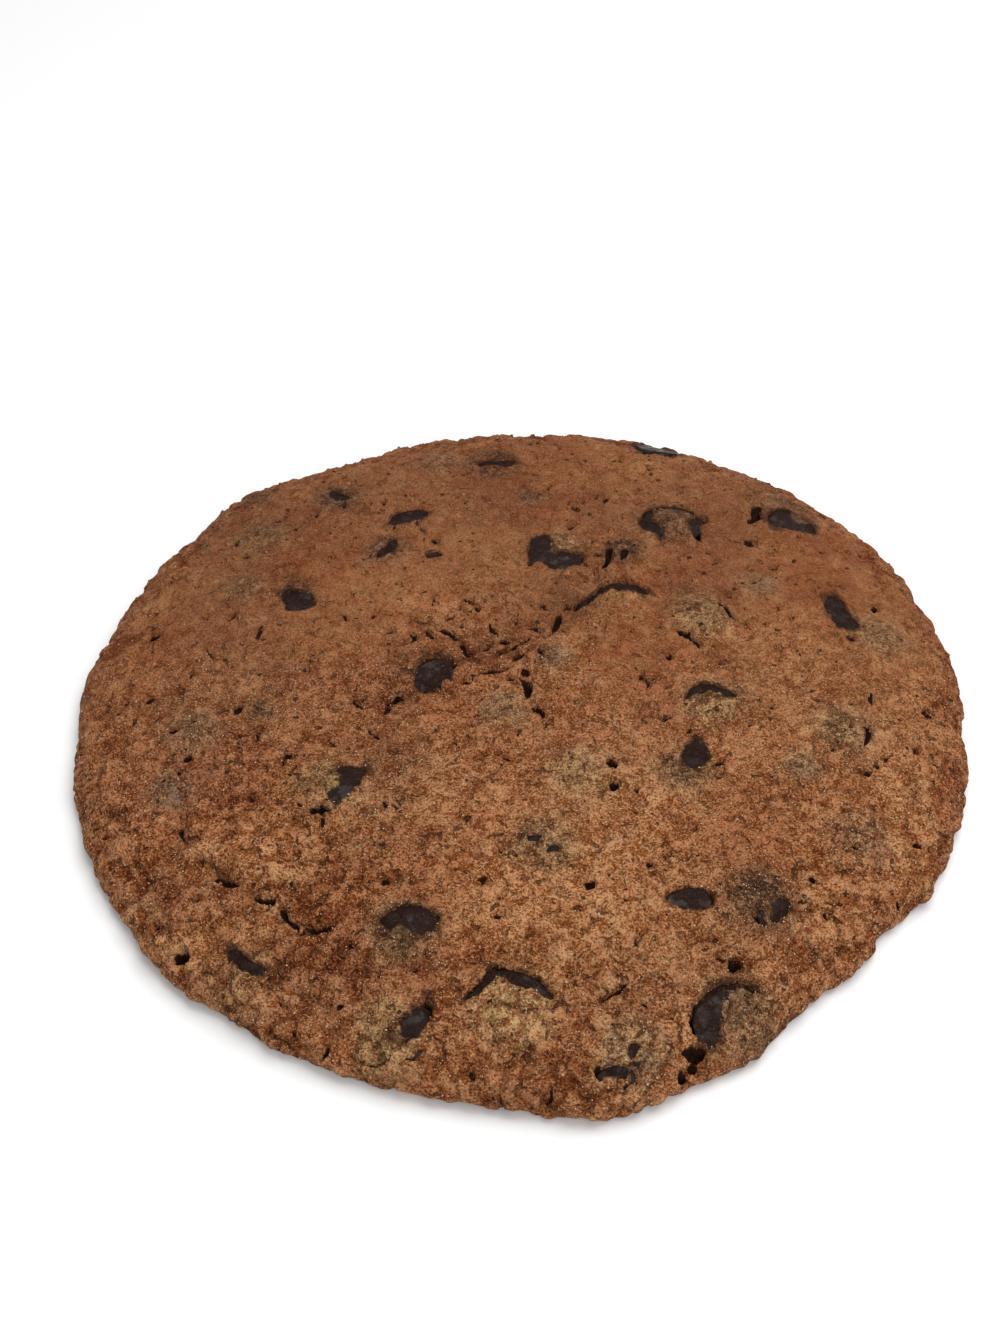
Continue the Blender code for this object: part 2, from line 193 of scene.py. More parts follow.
# A chip's thickness, the detail and squareness of its ball, the rise of its lumps and dents, and
# how far its top is raised, then cut off under the crust and rippled
CHIP_THICKNESS = 3.6
CHIP_DETAIL = 5
CHIP_SQUARENESS = 0.7
CHIP_LUMP = 0.07
CHIP_DENT = 0.035
CHIP_RISE = 0.5
CHIP_COVER = 0.12
CHIP_RIPPLE = 0.1

# Grains on the crust: ball detail, seed, widths and the share of half a width that sinks in
CRUMB_SHAPE = (2, 5, (0.4, 0.9), 0.62)
CRYSTAL_SHAPE = (1, 8, (0.1, 0.24), 0.2)
GRAIN_STRETCHES = (0.6, 1.3)
GRAIN_LUMPS = 0.24

# Where grains lie: limits of the crust's masks, height over the floor, and how far it faces up
HOLLOW_LIMIT = 0.15
TINT_LIMIT = 0.15
COARSE_LIMIT = 0.5
FLOOR_CLEARANCE = 0.8
FACING_UP = 0.6

# Openings that show a chip: x, y, length, width, turn, bend
WINDOWS = (
    (-20.4, -17.2, 6, 3, 62, -0.5), (-12.4, -37, 6.2, 3.8, 6, -0.2), (-30.2, -39.8, 5.2, 1.5, -36, 0.6),
    (-11.8, -47.8, 6, 2.2, 50, 0.9), (-4.6, -44.3, 4.8, 0.9, 50, 0.2), (-0.3, -43.8, 6.6, 1.8, -27, 0),
    (22.8, -3.1, 5.4, 2.3, -4, -0.8), (20, -12.9, 5, 2.6, 76, 0.2), (18, -33.4, 4.6, 2.6, 6, 0),
    (28.1, -34, 2.4, 1.6, 20, 0), (19.9, -46.4, 6.6, 2.9, 66, -0.6), (22.4, -43.9, 5, 1.2, 6, -0.4),
    (9.4, -53.2, 2.8, 1.1, 0, 0), (11.2, -51, 1.2, 1, 0, 0), (2.3, 23.3, 5.6, 2.8, 80, 0.5),
    (5.4, 21.2, 5.2, 2.2, 6, 0.4), (17.4, 29, 6, 1.7, 98, -1.1), (20.4, 31.7, 5, 1.3, 0, -0.5),
    (23.5, 28.4, 5.4, 1.5, 80, -0.7), (36.4, 31.2, 6.4, 3.8, -20, 0), (40.7, 12.6, 6.4, 3, -72, 0.3),
    (12.8, 15.7, 6.6, 2.2, -2, -0.8), (8.4, 14.4, 3.2, 1, 40, 0), (-15.2, 30.6, 5.4, 2.4, 25, -0.4),
    (-17.5, 23.4, 3.4, 1.5, 60, 0.3), (-11.3, 22.2, 2, 1.3, 20, 0), (-28.6, 14.2, 4.4, 2.8, -38, 0.2),
    (-24.6, 36.2, 2.8, 1.4, -35, 0), (-3.2, 43.2, 4.8, 1.5, 0, 0), (-10.9, 1.7, 5.4, 4.2, 64, 0),
    (19.4, 49.4, 6, 4.4, -20, 0), (1.3, -25.6, 1.8, 1, 20, 0), (3.1, -27.3, 1.2, 0.9, 0, 0),
)
WINDOW_DEPTH = 1.9
LIP_HEIGHT = 0.25

# Splits in the crust: x, y, length, width, depth, turn, bend
SPLITS = (
    (-23.4, -21.2, 3.2, 0.9, 1.3, -6, 0), (-22.9, -22.3, 2.2, 0.7, 1.1, 85, 0),
    (-4.7, -43.9, 5.2, 0.9, 1.8, 50, 0.2), (-0.2, -43.4, 6.8, 1, 2, -27, 0),
    (18.2, -46.8, 5, 1, 2, 68, -0.5), (20.8, 6.6, 4.2, 0.9, 1.6, -38, -0.5),
    (26.3, 12, 6.2, 0.8, 1.1, -62, 0.7), (7.4, 13.8, 3.6, 0.7, 1.2, 48, 0.3),
    (0.4, -1.8, 4.2, 1.1, 1.8, 97, 0.4), (1.9, -5.7, 2.2, 1.1, 1.7, -35, 0),
    (-19.9, -4, 2.6, 0.9, 1.3, -60, 0), (-15.4, -2.6, 3.4, 1, 1.2, 25, 0.3),
    (-16.5, -5, 3, 0.9, 1.2, 70, 0.3), (-17.3, -9.4, 2, 0.6, 1.1, -60, 0),
    (-12.6, 9.2, 3.4, 0.6, 0.8, -14, 0.2), (-9.2, 7.6, 4.4, 0.9, 1.2, -34, 0.3),
    (-6.8, 5.6, 2.8, 1.2, 1.5, -68, 0.2), (-8.9, 10.1, 1.8, 1.1, 1.2, 70, 0),
    (-11.1, 12.9, 1.8, 0.5, 0.8, -70, 0), (-6.5, 11, 2.2, 0.6, 0.8, 42, 0),
    (-4.6, 13.3, 1.4, 0.6, 0.7, 60, 0), (-2.2, 7.1, 1.6, 1.1, 1.1, 20, 0), (-0.6, 10, 1.4, 0.7, 0.8, 80, 0),
    (-1, 5.9, 4.8, 1, 1.1, 26, 0.3), (0.3, 6.6, 3, 0.8, 1.1, 50, 0), (-0.3, 4.1, 1.8, 1.2, 1.3, 10, 0),
    (-4.4, 1.1, 5.2, 0.9, 1.2, 18, 0.3), (-2.5, 1.4, 1.9, 1, 1.1, -15, 0),
    (-1.3, -0.3, 1.8, 0.9, 0.8, 10, 0), (-6, 3, 2.6, 1, 0.7, -30, 0), (4.6, 10.4, 4.2, 0.9, 1.4, 76, -0.3),
    (3.7, 7.9, 1.6, 0.7, 0.8, 50, 0), (-6.1, -0.2, 2, 0.5, 0.7, 75, 0.2),
    (-8.4, -2, 2.6, 0.4, 0.6, 60, 0.2), (-13.5, 6.4, 3, 0.8, 1, 60, 0.2),
    (-11.4, 7.2, 2.4, 0.8, 1, -60, 0.2), (-3.4, 8.8, 2.8, 0.8, 1, -50, 0.2),
    (-4.4, 6.6, 2.6, 0.8, 1, 40, 0), (1.6, 9.4, 2.8, 0.8, 1, -30, 0.2), (2.4, 4.2, 2.8, 0.8, 1, -60, 0.2),
    (5.9, 13.2, 2.6, 0.9, 1.1, 40, 0.2), (-6.8, 13.2, 2.2, 0.7, 0.8, -40, 0),
    (0.4, 1.2, 2.4, 0.9, 1.1, -70, 0.2), (2.9, 12.6, 2.2, 0.8, 0.9, -20, 0),
    (-31.5, -9.5, 2.4, 0.7, 0.8, 80, 0.2), (-36.5, 12, 3, 0.7, 0.8, 70, 0.3),
    (-26, 4.5, 2.6, 0.6, 0.8, -70, 0.2), (22.5, -14.5, 2.4, 0.6, 0.8, -60, 0.2),
    (-33.2, -29.6, 4.6, 0.8, 1, -28, 0.2), (-28.9, -32.2, 4.2, 0.9, 1.3, -14, 0.2),
    (-25.9, -34.6, 4.6, 1, 1.4, -50, 0.3), (-22.3, -36, 4.4, 0.9, 1.2, 2, 0.3),
    (11.2, 22.3, 5.2, 1.1, 1.5, 80, 0.5), (13.4, 22.1, 2, 1.3, 1.2, 60, 0.2),
    (-13.1, 28, 4, 0.8, 0.6, -68, 0.2), (31.6, 32.4, 5, 1.7, 1.8, 66, 0.3),
    (41, -8.6, 3.6, 0.9, 1.3, 78, 0.3), (9.4, -44.2, 4.2, 0.7, 1.1, 42, 0.3),
    (17.6, -50.3, 3.2, 1.5, 1.8, 10, 0.2), (-28.1, -13.8, 3.4, 0.5, 1, 78, 0.3),
    (-22.5, 10.8, 3.8, 0.6, 0.8, -50, 0.2), (-33, 8.5, 4.4, 0.6, 0.8, 84, 0.2),
    (7.1, 32.3, 3.4, 0.7, 0.8, -65, 0.2), (15.4, -1.6, 1.8, 0.5, 0.9, 80, 0),
    (15, -0.4, 1.6, 0.5, 0.9, -35, 0), (16, -0.4, 1.4, 0.5, 0.9, 40, 0), (11.2, -25, 1.8, 0.5, 0.9, -40, 0),
    (30.8, -32.3, 2, 0.4, 0.8, 10, 0), (42.6, -1.8, 3.2, 0.8, 0.9, 75, 0), (2.4, -55.3, 2, 0.6, 1, 80, 0),
    (-7.2, -26.8, 1.8, 0.4, 0.9, -25, 0), (-18.6, -39, 1.8, 0.6, 1, -55, 0.2),
    (25.4, -35.7, 2, 0.6, 1.2, -15, 0), (27.5, -35.5, 1.9, 0.6, 1.2, 5, 0),
    (-15.2, -51, 4.4, 0.5, 0.8, 12, 0.7), (17.3, 4.2, 2.4, 0.5, 0.7, 45, 0),
    (-38.8, 5.4, 3, 0.6, 0.8, -60, 0.3), (25.2, 21.6, 2.4, 0.9, 0.9, 50, 0),
    (-0.6, -9, 1.8, 0.5, 1.2, 75, 0), (-39, -22.6, 3.4, 0.9, 0.8, -70, 0.4),
    (24.6, 3.2, 2.8, 0.9, 0.5, 25, 0.4), (31.3, 6, 4, 0.5, 0.7, -40, 0.2),
    (34.3, 5.3, 1.9, 0.6, 0.7, -52, 0), (34, 11.3, 2.3, 0.7, 0.6, -66, 0),
    (29.7, -1.4, 4, 0.8, 0.6, -30, -0.3), (33.9, -2, 2.6, 0.5, 0.6, 80, 0.2),
    (16.6, -11.3, 1.9, 0.5, 0.8, 50, 0), (12.9, -11.4, 2.1, 0.4, 0.7, -56, 0.2),
    (12.4, -13.1, 1.6, 0.4, 0.6, 60, 0), (27.2, -7.8, 1.6, 0.6, 0.8, 20, 0),
    (17.2, -7.2, 1.8, 0.7, 0.8, 30, 0), (2.9, -46.4, 3, 0.5, 0.8, 28, 0.2), (3, -48.2, 2, 0.5, 0.8, 0, 0),
    (-26.9, -31, 2.4, 0.5, 0.7, 60, 0), (-36, -27, 3, 0.5, 0.7, -72, 0.3),
    (-39.8, -21.5, 3, 0.5, 0.5, 88, 0), (-25.7, -20.3, 1.6, 0.5, 0.9, -60, 0),
    (-20.4, -38.4, 1.2, 0.5, 0.7, 10, 0), (9.6, 18, 2, 0.6, 0.5, 40, 0), (4.7, 17.4, 1.2, 0.7, 0.7, 0, 0),
    (4, 15.5, 1.2, 0.7, 0.7, 0, 0),
)

# Open pits in the crust: x, y, width, depth
PITS = (
    (22.4, -41, 1.5, 1.8), (16.3, -52.6, 1.3, 1.8), (17.7, -51.6, 1.2, 1.6), (10.2, -14.4, 1.4, 1.7),
    (10.5, -17.6, 1.3, 1.6), (12.9, -18.3, 0.8, 1), (-39.6, -12.2, 1, 1.3), (-40, -14.7, 0.9, 1),
    (-45.4, -1.8, 1.2, 0.9), (-34.4, -4.8, 1.3, 0.9), (-46.5, 9.6, 1.6, 1.5), (45.5, 14.7, 1.3, 1.3),
    (49.3, -2.9, 1, 1), (45.4, -23.2, 1.1, 1.4), (-37.5, -38.2, 1.5, 1.5), (-40.8, -34.2, 0.7, 0.8),
    (-22.6, -28.7, 0.8, 0.9), (-22, -25.2, 0.7, 0.8), (-20.8, -31.7, 0.7, 1), (-15.4, -30.9, 1, 1.1),
    (-31.4, -18.9, 0.8, 1.1), (-33.6, -23.7, 0.7, 0.9), (-41.8, -7.8, 1.3, 1), (32.1, -29.6, 1.3, 1),
    (36, -23, 0.8, 0.8), (36.6, -10.9, 0.8, 1), (40.3, -14, 1.5, 1), (45, -13.2, 0.7, 0.9),
    (46.8, -9.6, 0.9, 0.9), (33.3, -33.7, 0.7, 0.9), (14, -28.8, 0.8, 0.9), (7.3, -31.5, 1, 1),
    (9.6, -29.9, 0.7, 0.8), (30.4, 26, 1.9, 0.8), (-11.3, 25.3, 1.2, 1), (-7.2, -0.5, 0.8, 1.1),
    (7.6, -53.3, 1.1, 1.6), (-5.6, -53.2, 0.9, 0.8), (-7.5, 8.8, 0.9, 0.9), (0.8, 4.6, 0.8, 0.9),
)

# Patches of another browning, and of painted light along the near rim and painted shade over the far and
# left parts: x, y, width, tan, red, dark
BROWNING_AND_LIGHTING_PATCHES = (
    (-32.5, -27.5, 12, 0.8, 0, 0), (-41.2, -30, 6, 0, 0, 0.8), (-36, -33, 12, 0, 0.2, 0.1),
    (-24, -42, 10, 0, 0.2, 0.5), (-15, -43, 10, 0, 0.2, 0.3), (-47, -13, 14, 0.2, 0.8, 0),
    (25, -25, 16, 0, 0.8, 0), (6, -31, 24, 0.7, 0, 0), (-20, -22, 16, 0.2, 0, 0), (-12, 15, 26, 0.3, 0, 0),
    (-7, 4.5, 9, 0, 0.8, 0.5), (-1, 8, 9, 0, 0.8, 0.4), (4.5, 11, 8, 0, 0.8, 0.4), (-8, 10, 8, 0.5, 0, 0),
    (8, 17, 10, 0, 0.6, 0.4), (10.5, 25, 10, 0, 0.4, 0.4), (-6, 38, 20, 0, 0.4, 0.2),
    (28, 40, 20, 0, 0.3, 0.2), (-28, 6, 14, 0.1, 0, 0.1), (-34, 31, 17, 0, 0, 0.3),
    (-20, 34, 17, 0, 0.1, 0.4), (-3, 31, 15, 0, 0, 0.4), (13, 34, 15, 0, 0, 0.35), (27, 29, 14, 0, 0, 0.4),
    (-37, 18, 14, 0, 0, 0.5), (-8, 19, 12, 0, 0, 0.3), (4, 17, 10, 0, 0, 0.3), (25, 17, 12, 0, 0, 0.3),
    (-36, 6, 14, 0, 0, 0.35), (-39, -4, 12, 0, 0, 0.4), (-28, -4, 14, 0, 0, 0.35),
    (-37, -14, 12, 0, 0, 0.35), (-16, -14, 12, 0, 0, 0.65), (-47, -24, 10, 0.6, 0.2, 0),
    (-28, -31, 9, 0.5, 0, 0), (23, -36, 12, 0, 0.1, 0.4), (46, -22, 8, 0.5, 0, 0),
    (-17, -24, 12, 0, 0, 0.3), (44, -15, 12, 0.5, 0, 0), (41, -25, 12, 0.8, 0, 0), (33, -33, 11, 0.7, 0, 0),
    (26, -41, 9, 0.5, 0, 0), (19, -51, 10, 0.8, 0, 0), (8, -52, 10, 0.4, 0, 0), (-6, -51, 11, 0.6, 0.2, 0),
    (-18, -49, 11, 0.6, 0.2, 0), (-30, -43, 12, 0.6, 0, 0), (-36, -36, 9, 0.5, 0, 0),
    (30, 4, 14, 0.3, 0.1, 0), (-2, -33, 12, 0.5, 0, 0), (14, -21, 12, 0.5, 0, 0), (-8, -16, 16, 0.4, 0, 0),
    (-26, -32, 10, 0.2, 0, 0.2), (-37.8, -26.2, 3.4, 1.6, 0, 0), (-35.8, -26.8, 3, 1.3, 0, 0),
    (-33.4, -27.7, 4, 1.6, 0, 0), (-31, -28.6, 4, 1.6, 0, 0), (-28.6, -30.2, 4, 1.2, 0, 0),
    (-44, -31, 5, 1, 0, 0), (-39, -24, 3, 0, 0.2, 0.7), (-34, -30.5, 6, 0, 0.3, 0.4),
    (-14.5, -1.5, 6, 0, 0.5, 0.6), (26, -3, 6, 0, 0.3, 0.6), (24.5, 3, 4, 0, 0.8, 0.5),
    (6.5, 14.5, 4, 0, 0.8, 0.5), (2, -51, 16, 0, 0.6, 0.1), (12, -44, 12, 0.3, 0, 0.3),
    (-15, 2.5, 6, 0, 0.3, 0.8), (-34, 30, 14, 0, 0, 0.4), (40, -30, 14, 0.3, 0.5, 0),
    (20.8, 15.4, 4.6, 0, 1, 0.9), (17, -5.5, 7, 0, 1, 0.2), (19.8, -9.8, 3, 0, 1, 0.3),
    (20.5, 9.2, 1.8, 1.6, 0, 0), (25.5, 7.9, 1.6, 1.6, 0.1, 0), (5, 23.8, 2.6, 0.9, 0, 0),
    (18.8, -49.2, 2.4, 1.2, 0.2, 0), (26, -33, 7, 0, 0, 0.9),
)

# Strengths of the masks: grain everywhere, nearer and where crumbly, then the painted shade of hollows, the
# foot, and the painted light and shade on crags
ROUGH_SHARES = (0.1, 0.65, 0.35)
FULL_SHADE_DEPTH = 1.1
WINDOW_SHADE = 0.95
FOOT_SHADE = 0.8
CRAG_SHADING_CONTRAST = 1.5

# Colours of the finishes that no setting changes, and tints that multiply a colour; those of crag tops and
# seams, gaps, halos, glints, pores, cracks and hollows are painted light or shade, the grain's partly
CRAG_TOP_PAINTED_LIGHT = (1.2, 1.24, 1.3)
CRAG_SEAM_PAINTED_SHADE = (0.64, 0.5, 0.38)
ORANGE_TINT = (1.03, 0.94, 0.86)
YELLOW_TINT = (1.02, 1.06, 1.0)
DEEP_GRAIN_AND_SHADE = (0.58, 0.36, 0.12)
LIGHT_GRAIN_AND_LIGHT = (1.8, 2.15, 2.55)
GAP_PAINTED_SHADE = (0.45, 0.33, 0.24)
HALO_PAINTED_SHADE = (0.05, 0.018, 0.008)
GLINT_PAINTED_HIGHLIGHT = (0.6, 0.4, 0.22)
PORE_PAINTED_SHADE = (0.035, 0.012, 0.005)
CRACK_PAINTED_SHADE = (0.075, 0.024, 0.008)
HOLLOW_PAINTED_SHADE = (0.018, 0.006, 0.003)
COVER_BROWN = (0.1, 0.05, 0.018)
FLECK_BROWN = (0.03, 0.014, 0.008)
BLOOM_GREY = (0.04, 0.024, 0.018)
DUST_BROWN = (0.12, 0.08, 0.055)

# Thin dough over a chip: each mask with the darkest and the lightest colour of its grain
COVERS = {
    "pale": ((0.22, 0.118, 0.04), (0.6, 0.37, 0.165)),
    "grey": ((0.065, 0.036, 0.022), (0.23, 0.145, 0.098)),
    "deep": ((0.022, 0.010, 0.005), (0.1, 0.05, 0.026)),
}

# Darkest and lightest colour of the dough left on a chip, and of sugar
FILM_COLOURS = ((0.05, 0.022, 0.01), (0.2, 0.095, 0.04))
SUGAR_COLOURS = ((0.42, 0.25, 0.13), (0.66, 0.47, 0.30))

# Dough materials: whether they read the masks painted on the crust, and the tint of their bake
BAKES = {
    "crust_dough": (True, (1.0, 1.0, 1.0)),
    "underside_dough": (False, (0.72, 0.62, 0.55)),
    "crumb_dough": (False, (1.05, 1.0, 0.95)),
}

# Places of the lamps over the floor, in metres
KEY_PLACE = (0.12, 0.13, 0.52)
FILL_PLACE = (0.12, -0.4, 0.38)
LAMP_WIDTH = 0.5
FLOOR_WIDTH = 6.0


def settings():
    """The cookie's settings in the scene."""
    return bpy.context.scene.cookie


def away_from(angle, middle):
    """Shortest turn between angles."""
    return (angle - middle + 180.0) % 360.0 - 180.0


def spot(x, y, middle_x, middle_y, width, power):
    """1 in the middle of a round spot and about a third at its edge, flatter with a higher power."""
    share = np.hypot(x - middle_x, y - middle_y) / (width / 2.0)
    return np.exp(-(share**power))


def fade(value, full, none):
    """Smooth fall from 1 at full to 0 at none."""
    share = np.clip((value - none) / (full - none), 0.0, 1.0)
    return share * share * (3.0 - 2.0 * share)


def ripple(places, wavelength, seed=0.0):
    """Smooth noise from -1 to 1 at each place."""
    shift = Vector((seed, 2.0 * seed, 3.0 * seed))
    return np.array([noise.noise(Vector(place) / wavelength + shift) for place in places])


def cells(places, wavelength, seed):
    """Distances to the nearest and the second nearest cell point at each place."""
    shift = Vector((seed, 2.0 * seed, 3.0 * seed))
    found = [noise.voronoi(Vector(place) / wavelength + shift)[0] for place in places]
    return np.array([item[0] for item in found]), np.array([item[1] for item in found])


def waves(places, table):
    """Sum of ripples of several wavelengths and heights."""
    return sum(height * ripple(places, wavelength) for wavelength, height in table)


def rim_radius(angle):
    """Distance from the rim's centre to the widest part of the side, in millimetres."""
    radius = np.full_like(angle, settings().rim_radius / MM)
    for middle, spread, rise in RIM_SWELLS:
        radius += rise * np.exp(-((away_from(angle, middle) / spread) ** 2))
    return radius


def rim_lumps(angle, height):
    """How far the side bulges out at each angle and height."""
    middle, spread, strength = CRUMBLY_SIDE
    crumbly = 1.0 + (strength - 1.0) * np.exp(-((away_from(angle, middle) / spread) ** 2))
    turn = np.radians(angle)
    radius = settings().rim_radius / MM
    places = np.stack([radius * np.cos(turn), radius * np.sin(turn), height], axis=1)
    return crumbly * waves(places, RIM_WAVES)


def shoulder_height(across):
    """Height of the even crust at each share of the way from the middle to the rim."""
    dough = settings()
    rounded = np.sqrt(np.clip(1.0 - across**dough.shoulder_power, 0.0, 1.0))
    level = dough.edge_height + dough.shoulder_rise * rounded + dough.crown_rise * (1.0 - across)
    return level / MM


def bent_lens(x, y, lens):
    """How far out each place lies in a bent lens: 0 on its spine's middle, 1 on its edge."""
    lens_x, lens_y, length, width, turn, bend = lens
    turn = math.radians(turn)
    along = (x - lens_x) * math.cos(turn) + (y - lens_y) * math.sin(turn)
    aside = (y - lens_y) * math.cos(turn) - (x - lens_x) * math.sin(turn)
    share = along / (length / 2.0)
    aside = aside - bend * (np.clip(share, -BEND_REACH, BEND_REACH) ** 2 - 0.5)
    return np.hypot(share, aside / (width / 2.0))


def path_distance(x, y, path):
    """Shortest distance from each place to a line through the path's places."""
    nearest = np.full_like(x, np.inf)
    for (ax, ay), (bx, by) in zip(path, path[1:]):
        along_x = bx - ax
        along_y = by - ay
        share = ((x - ax) * along_x + (y - ay) * along_y) / (along_x**2 + along_y**2)
        share = np.clip(share, 0.0, 1.0)
        nearest = np.minimum(nearest, np.hypot(x - ax - share * along_x, y - ay - share * along_y))
    return nearest


def square_to_disc(u, v):
    """Even map from a square of half side 1 to a disc: angle in degrees, share of radius."""
    share = np.maximum(np.abs(u), np.abs(v))
    wide = np.abs(u) >= np.abs(v)
    safe_u = np.where(np.abs(u) < 1e-9, 1e-9, u)
    safe_v = np.where(np.abs(v) < 1e-9, 1e-9, v)
    angle_wide = 45.0 * v / safe_u + np.where(u < 0.0, 180.0, 0.0)
    angle_tall = 90.0 - 45.0 * u / safe_v + np.where(v < 0.0, 180.0, 0.0)
    return np.where(wide, angle_wide, angle_tall), share


def round_centre(radius, angle, height):
    """Places at each radius, angle and height round the outline's centre."""
    turn = np.radians(angle)
    x = RIM_CENTRE[0] + radius * np.cos(turn)
    y = RIM_CENTRE[1] + radius * np.sin(turn)
    return np.stack([x, y, height], axis=1)


def outline_middle():
    """Middle of the outline's box, which is the frame's origin, in millimetres."""
    angle = np.linspace(0.0, 360.0, 720, endpoint=False)
    height = np.full_like(angle, settings().edge_height / MM)
    outline = round_centre(rim_radius(angle) + rim_lumps(angle, height), angle, height)
    return (outline.min(axis=0) + outline.max(axis=0))[:2] / 2.0


def relief_share(across):
    """How much of the broad relief the crust shows: all of it inside, less of it near the rim."""
    inner = np.clip((1.0 - across) / CALM_EDGE, 0.0, 1.0)
    return EDGE_RELIEF + (1.0 - EDGE_RELIEF) * inner


def broad_relief(x, y):
    """Mounds, folds and the crust's own unevenness."""
    flat = np.stack([x, y, np.zeros_like(x)], axis=1)
    rise = waves(flat, CRUST_WAVES)
    for mound_x, mound_y, width, height, *_ in MOUNDS:
        rise += height * spot(x, y, mound_x, mound_y, width, MOUND_POWER)
    for width, depth, path in FOLDS:
        share = path_distance(x, y, path) / (width / 2.0)
        rise -= depth * np.exp(-(share**2))
    return rise


def wander(places, wavelength, reach, seed):
    """Places shifted sideways by smooth noise, which turns smooth edges into torn ones."""
    x = places[:, 0] + reach * ripple(places, wavelength, seed)
    y = places[:, 1] + reach * ripple(places, wavelength, seed + 0.7)
    return x, y


def window_distance(x, y, ragged):
    """How far out each place lies from the nearest opening over a chip: 1 is its edge."""
    nearest = np.full_like(x, np.inf)
    for window in WINDOWS:
        nearest = np.minimum(nearest, bent_lens(x, y, window) + ragged)
    return nearest


def hollow_depth(x, y, ragged):
    """Depth of splits and pits at each place, in millimetres."""
    depth = np.zeros_like(x)
    for split_x, split_y, length, width, fall, turn, bend in SPLITS:
        out = bent_lens(x, y, (split_x, split_y, length, width, turn, bend)) + ragged
        depth = np.maximum(depth, fall * fade(out, *SPLIT_WALL))
    for pit_x, pit_y, width, fall in PITS:
        out = np.hypot(x - pit_x, y - pit_y) / (width / 2.0) + PIT_RAGGEDNESS * ragged
        depth = np.maximum(depth, fall * fade(out, *PIT_WALL))
    return depth


def pore_depth(x, y, count, seed):
    """Depth of many small pores, scattered by a seeded draw."""
    draw = random.Random(seed)
    depth = np.zeros_like(x)
    reach = settings().rim_radius / MM
    for _ in range(count):
        angle = draw.uniform(0.0, 2.0 * math.pi)
        radius = reach * math.sqrt(draw.random())
        width = draw.uniform(*PORE_WIDTHS)
        fall = draw.uniform(*PORE_DEPTHS)
        stretch = draw.uniform(*PORE_STRETCHES)
        turn = draw.uniform(0.0, 180.0)
        pore = (radius * math.cos(angle), radius * math.sin(angle), width * stretch, width, turn, 0.0)
        near = (np.abs(x - pore[0]) < PORE_REACH) & (np.abs(y - pore[1]) < PORE_REACH)
        out = bent_lens(x[near], y[near], pore)
        depth[near] = np.maximum(depth[near], fall * fade(out, *PORE_WALL))
    return depth


def set_mask(mesh, name, values):
    """Store one value for each vertex, for the materials to read."""
    layer = mesh.attributes.new(name, "FLOAT", "POINT")
    layer.data.foreach_set("value", np.clip(values, 0.0, 1.0).astype(np.float32))


def read_places(mesh):
    """Vertex places of a mesh as an array."""
    places = np.empty(len(mesh.vertices) * 3, dtype=np.float32)
    mesh.vertices.foreach_get("co", places)
    return places.reshape(-1, 3).astype(float)


def write_places(mesh, places):
    """Move a mesh's vertices to the places."""
    mesh.vertices.foreach_set("co", places.astype(np.float32).ravel())
    mesh.update()


def vertex_normals(mesh):
    """Outward direction at each vertex."""
    normals = np.empty(len(mesh.vertices) * 3, dtype=np.float32)
    mesh.vertex_normals.foreach_get("vector", normals)
    return normals.reshape(-1, 3).astype(float)


def add_piece(name, operator, **options):
    """Add a primitive by hand, name it and leave it alone selected."""
    for other in bpy.context.selected_objects:
        other.select_set(False)
    operator(**options)
    piece = bpy.context.object
    piece.name = piece.data.name = name
    return piece


def add_ball(name, subdivisions):
    """Add a round ball of radius 1 by hand."""
    add_sphere = bpy.ops.mesh.primitive_ico_sphere_add
    return add_piece(name, add_sphere, subdivisions=subdivisions, radius=1.0)


def disc_with_rings(name, counts, rings):
    """A grid with rings extruded down from its border and a cap: ring n is at z = -n."""
    columns, rows = counts
    add_grid = bpy.ops.mesh.primitive_grid_add
    piece = add_piece(name, add_grid, x_subdivisions=columns, y_subdivisions=rows, size=2.0)
    bpy.ops.object.mode_set(mode="EDIT")
    bpy.ops.mesh.select_all(action="SELECT")
    bpy.ops.mesh.region_to_loop()
    for _ in range(rings):
        bpy.ops.mesh.extrude_edges_move(TRANSFORM_OT_translate={"value": (0.0, 0.0, -1.0)})
    bpy.ops.mesh.edge_face_add()
    bpy.ops.mesh.select_all(action="SELECT")
    bpy.ops.mesh.normals_make_consistent(inside=False)
    bpy.ops.object.mode_set(mode="OBJECT")
    return piece


def finish_piece(piece, material):
    """Smooth, dress and declare a finished piece."""
    piece.data.materials.clear()
    piece.data.materials.append(material)
    piece.data.shade_smooth()
    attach(piece, "root")
    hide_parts("cookie")


# Shader building


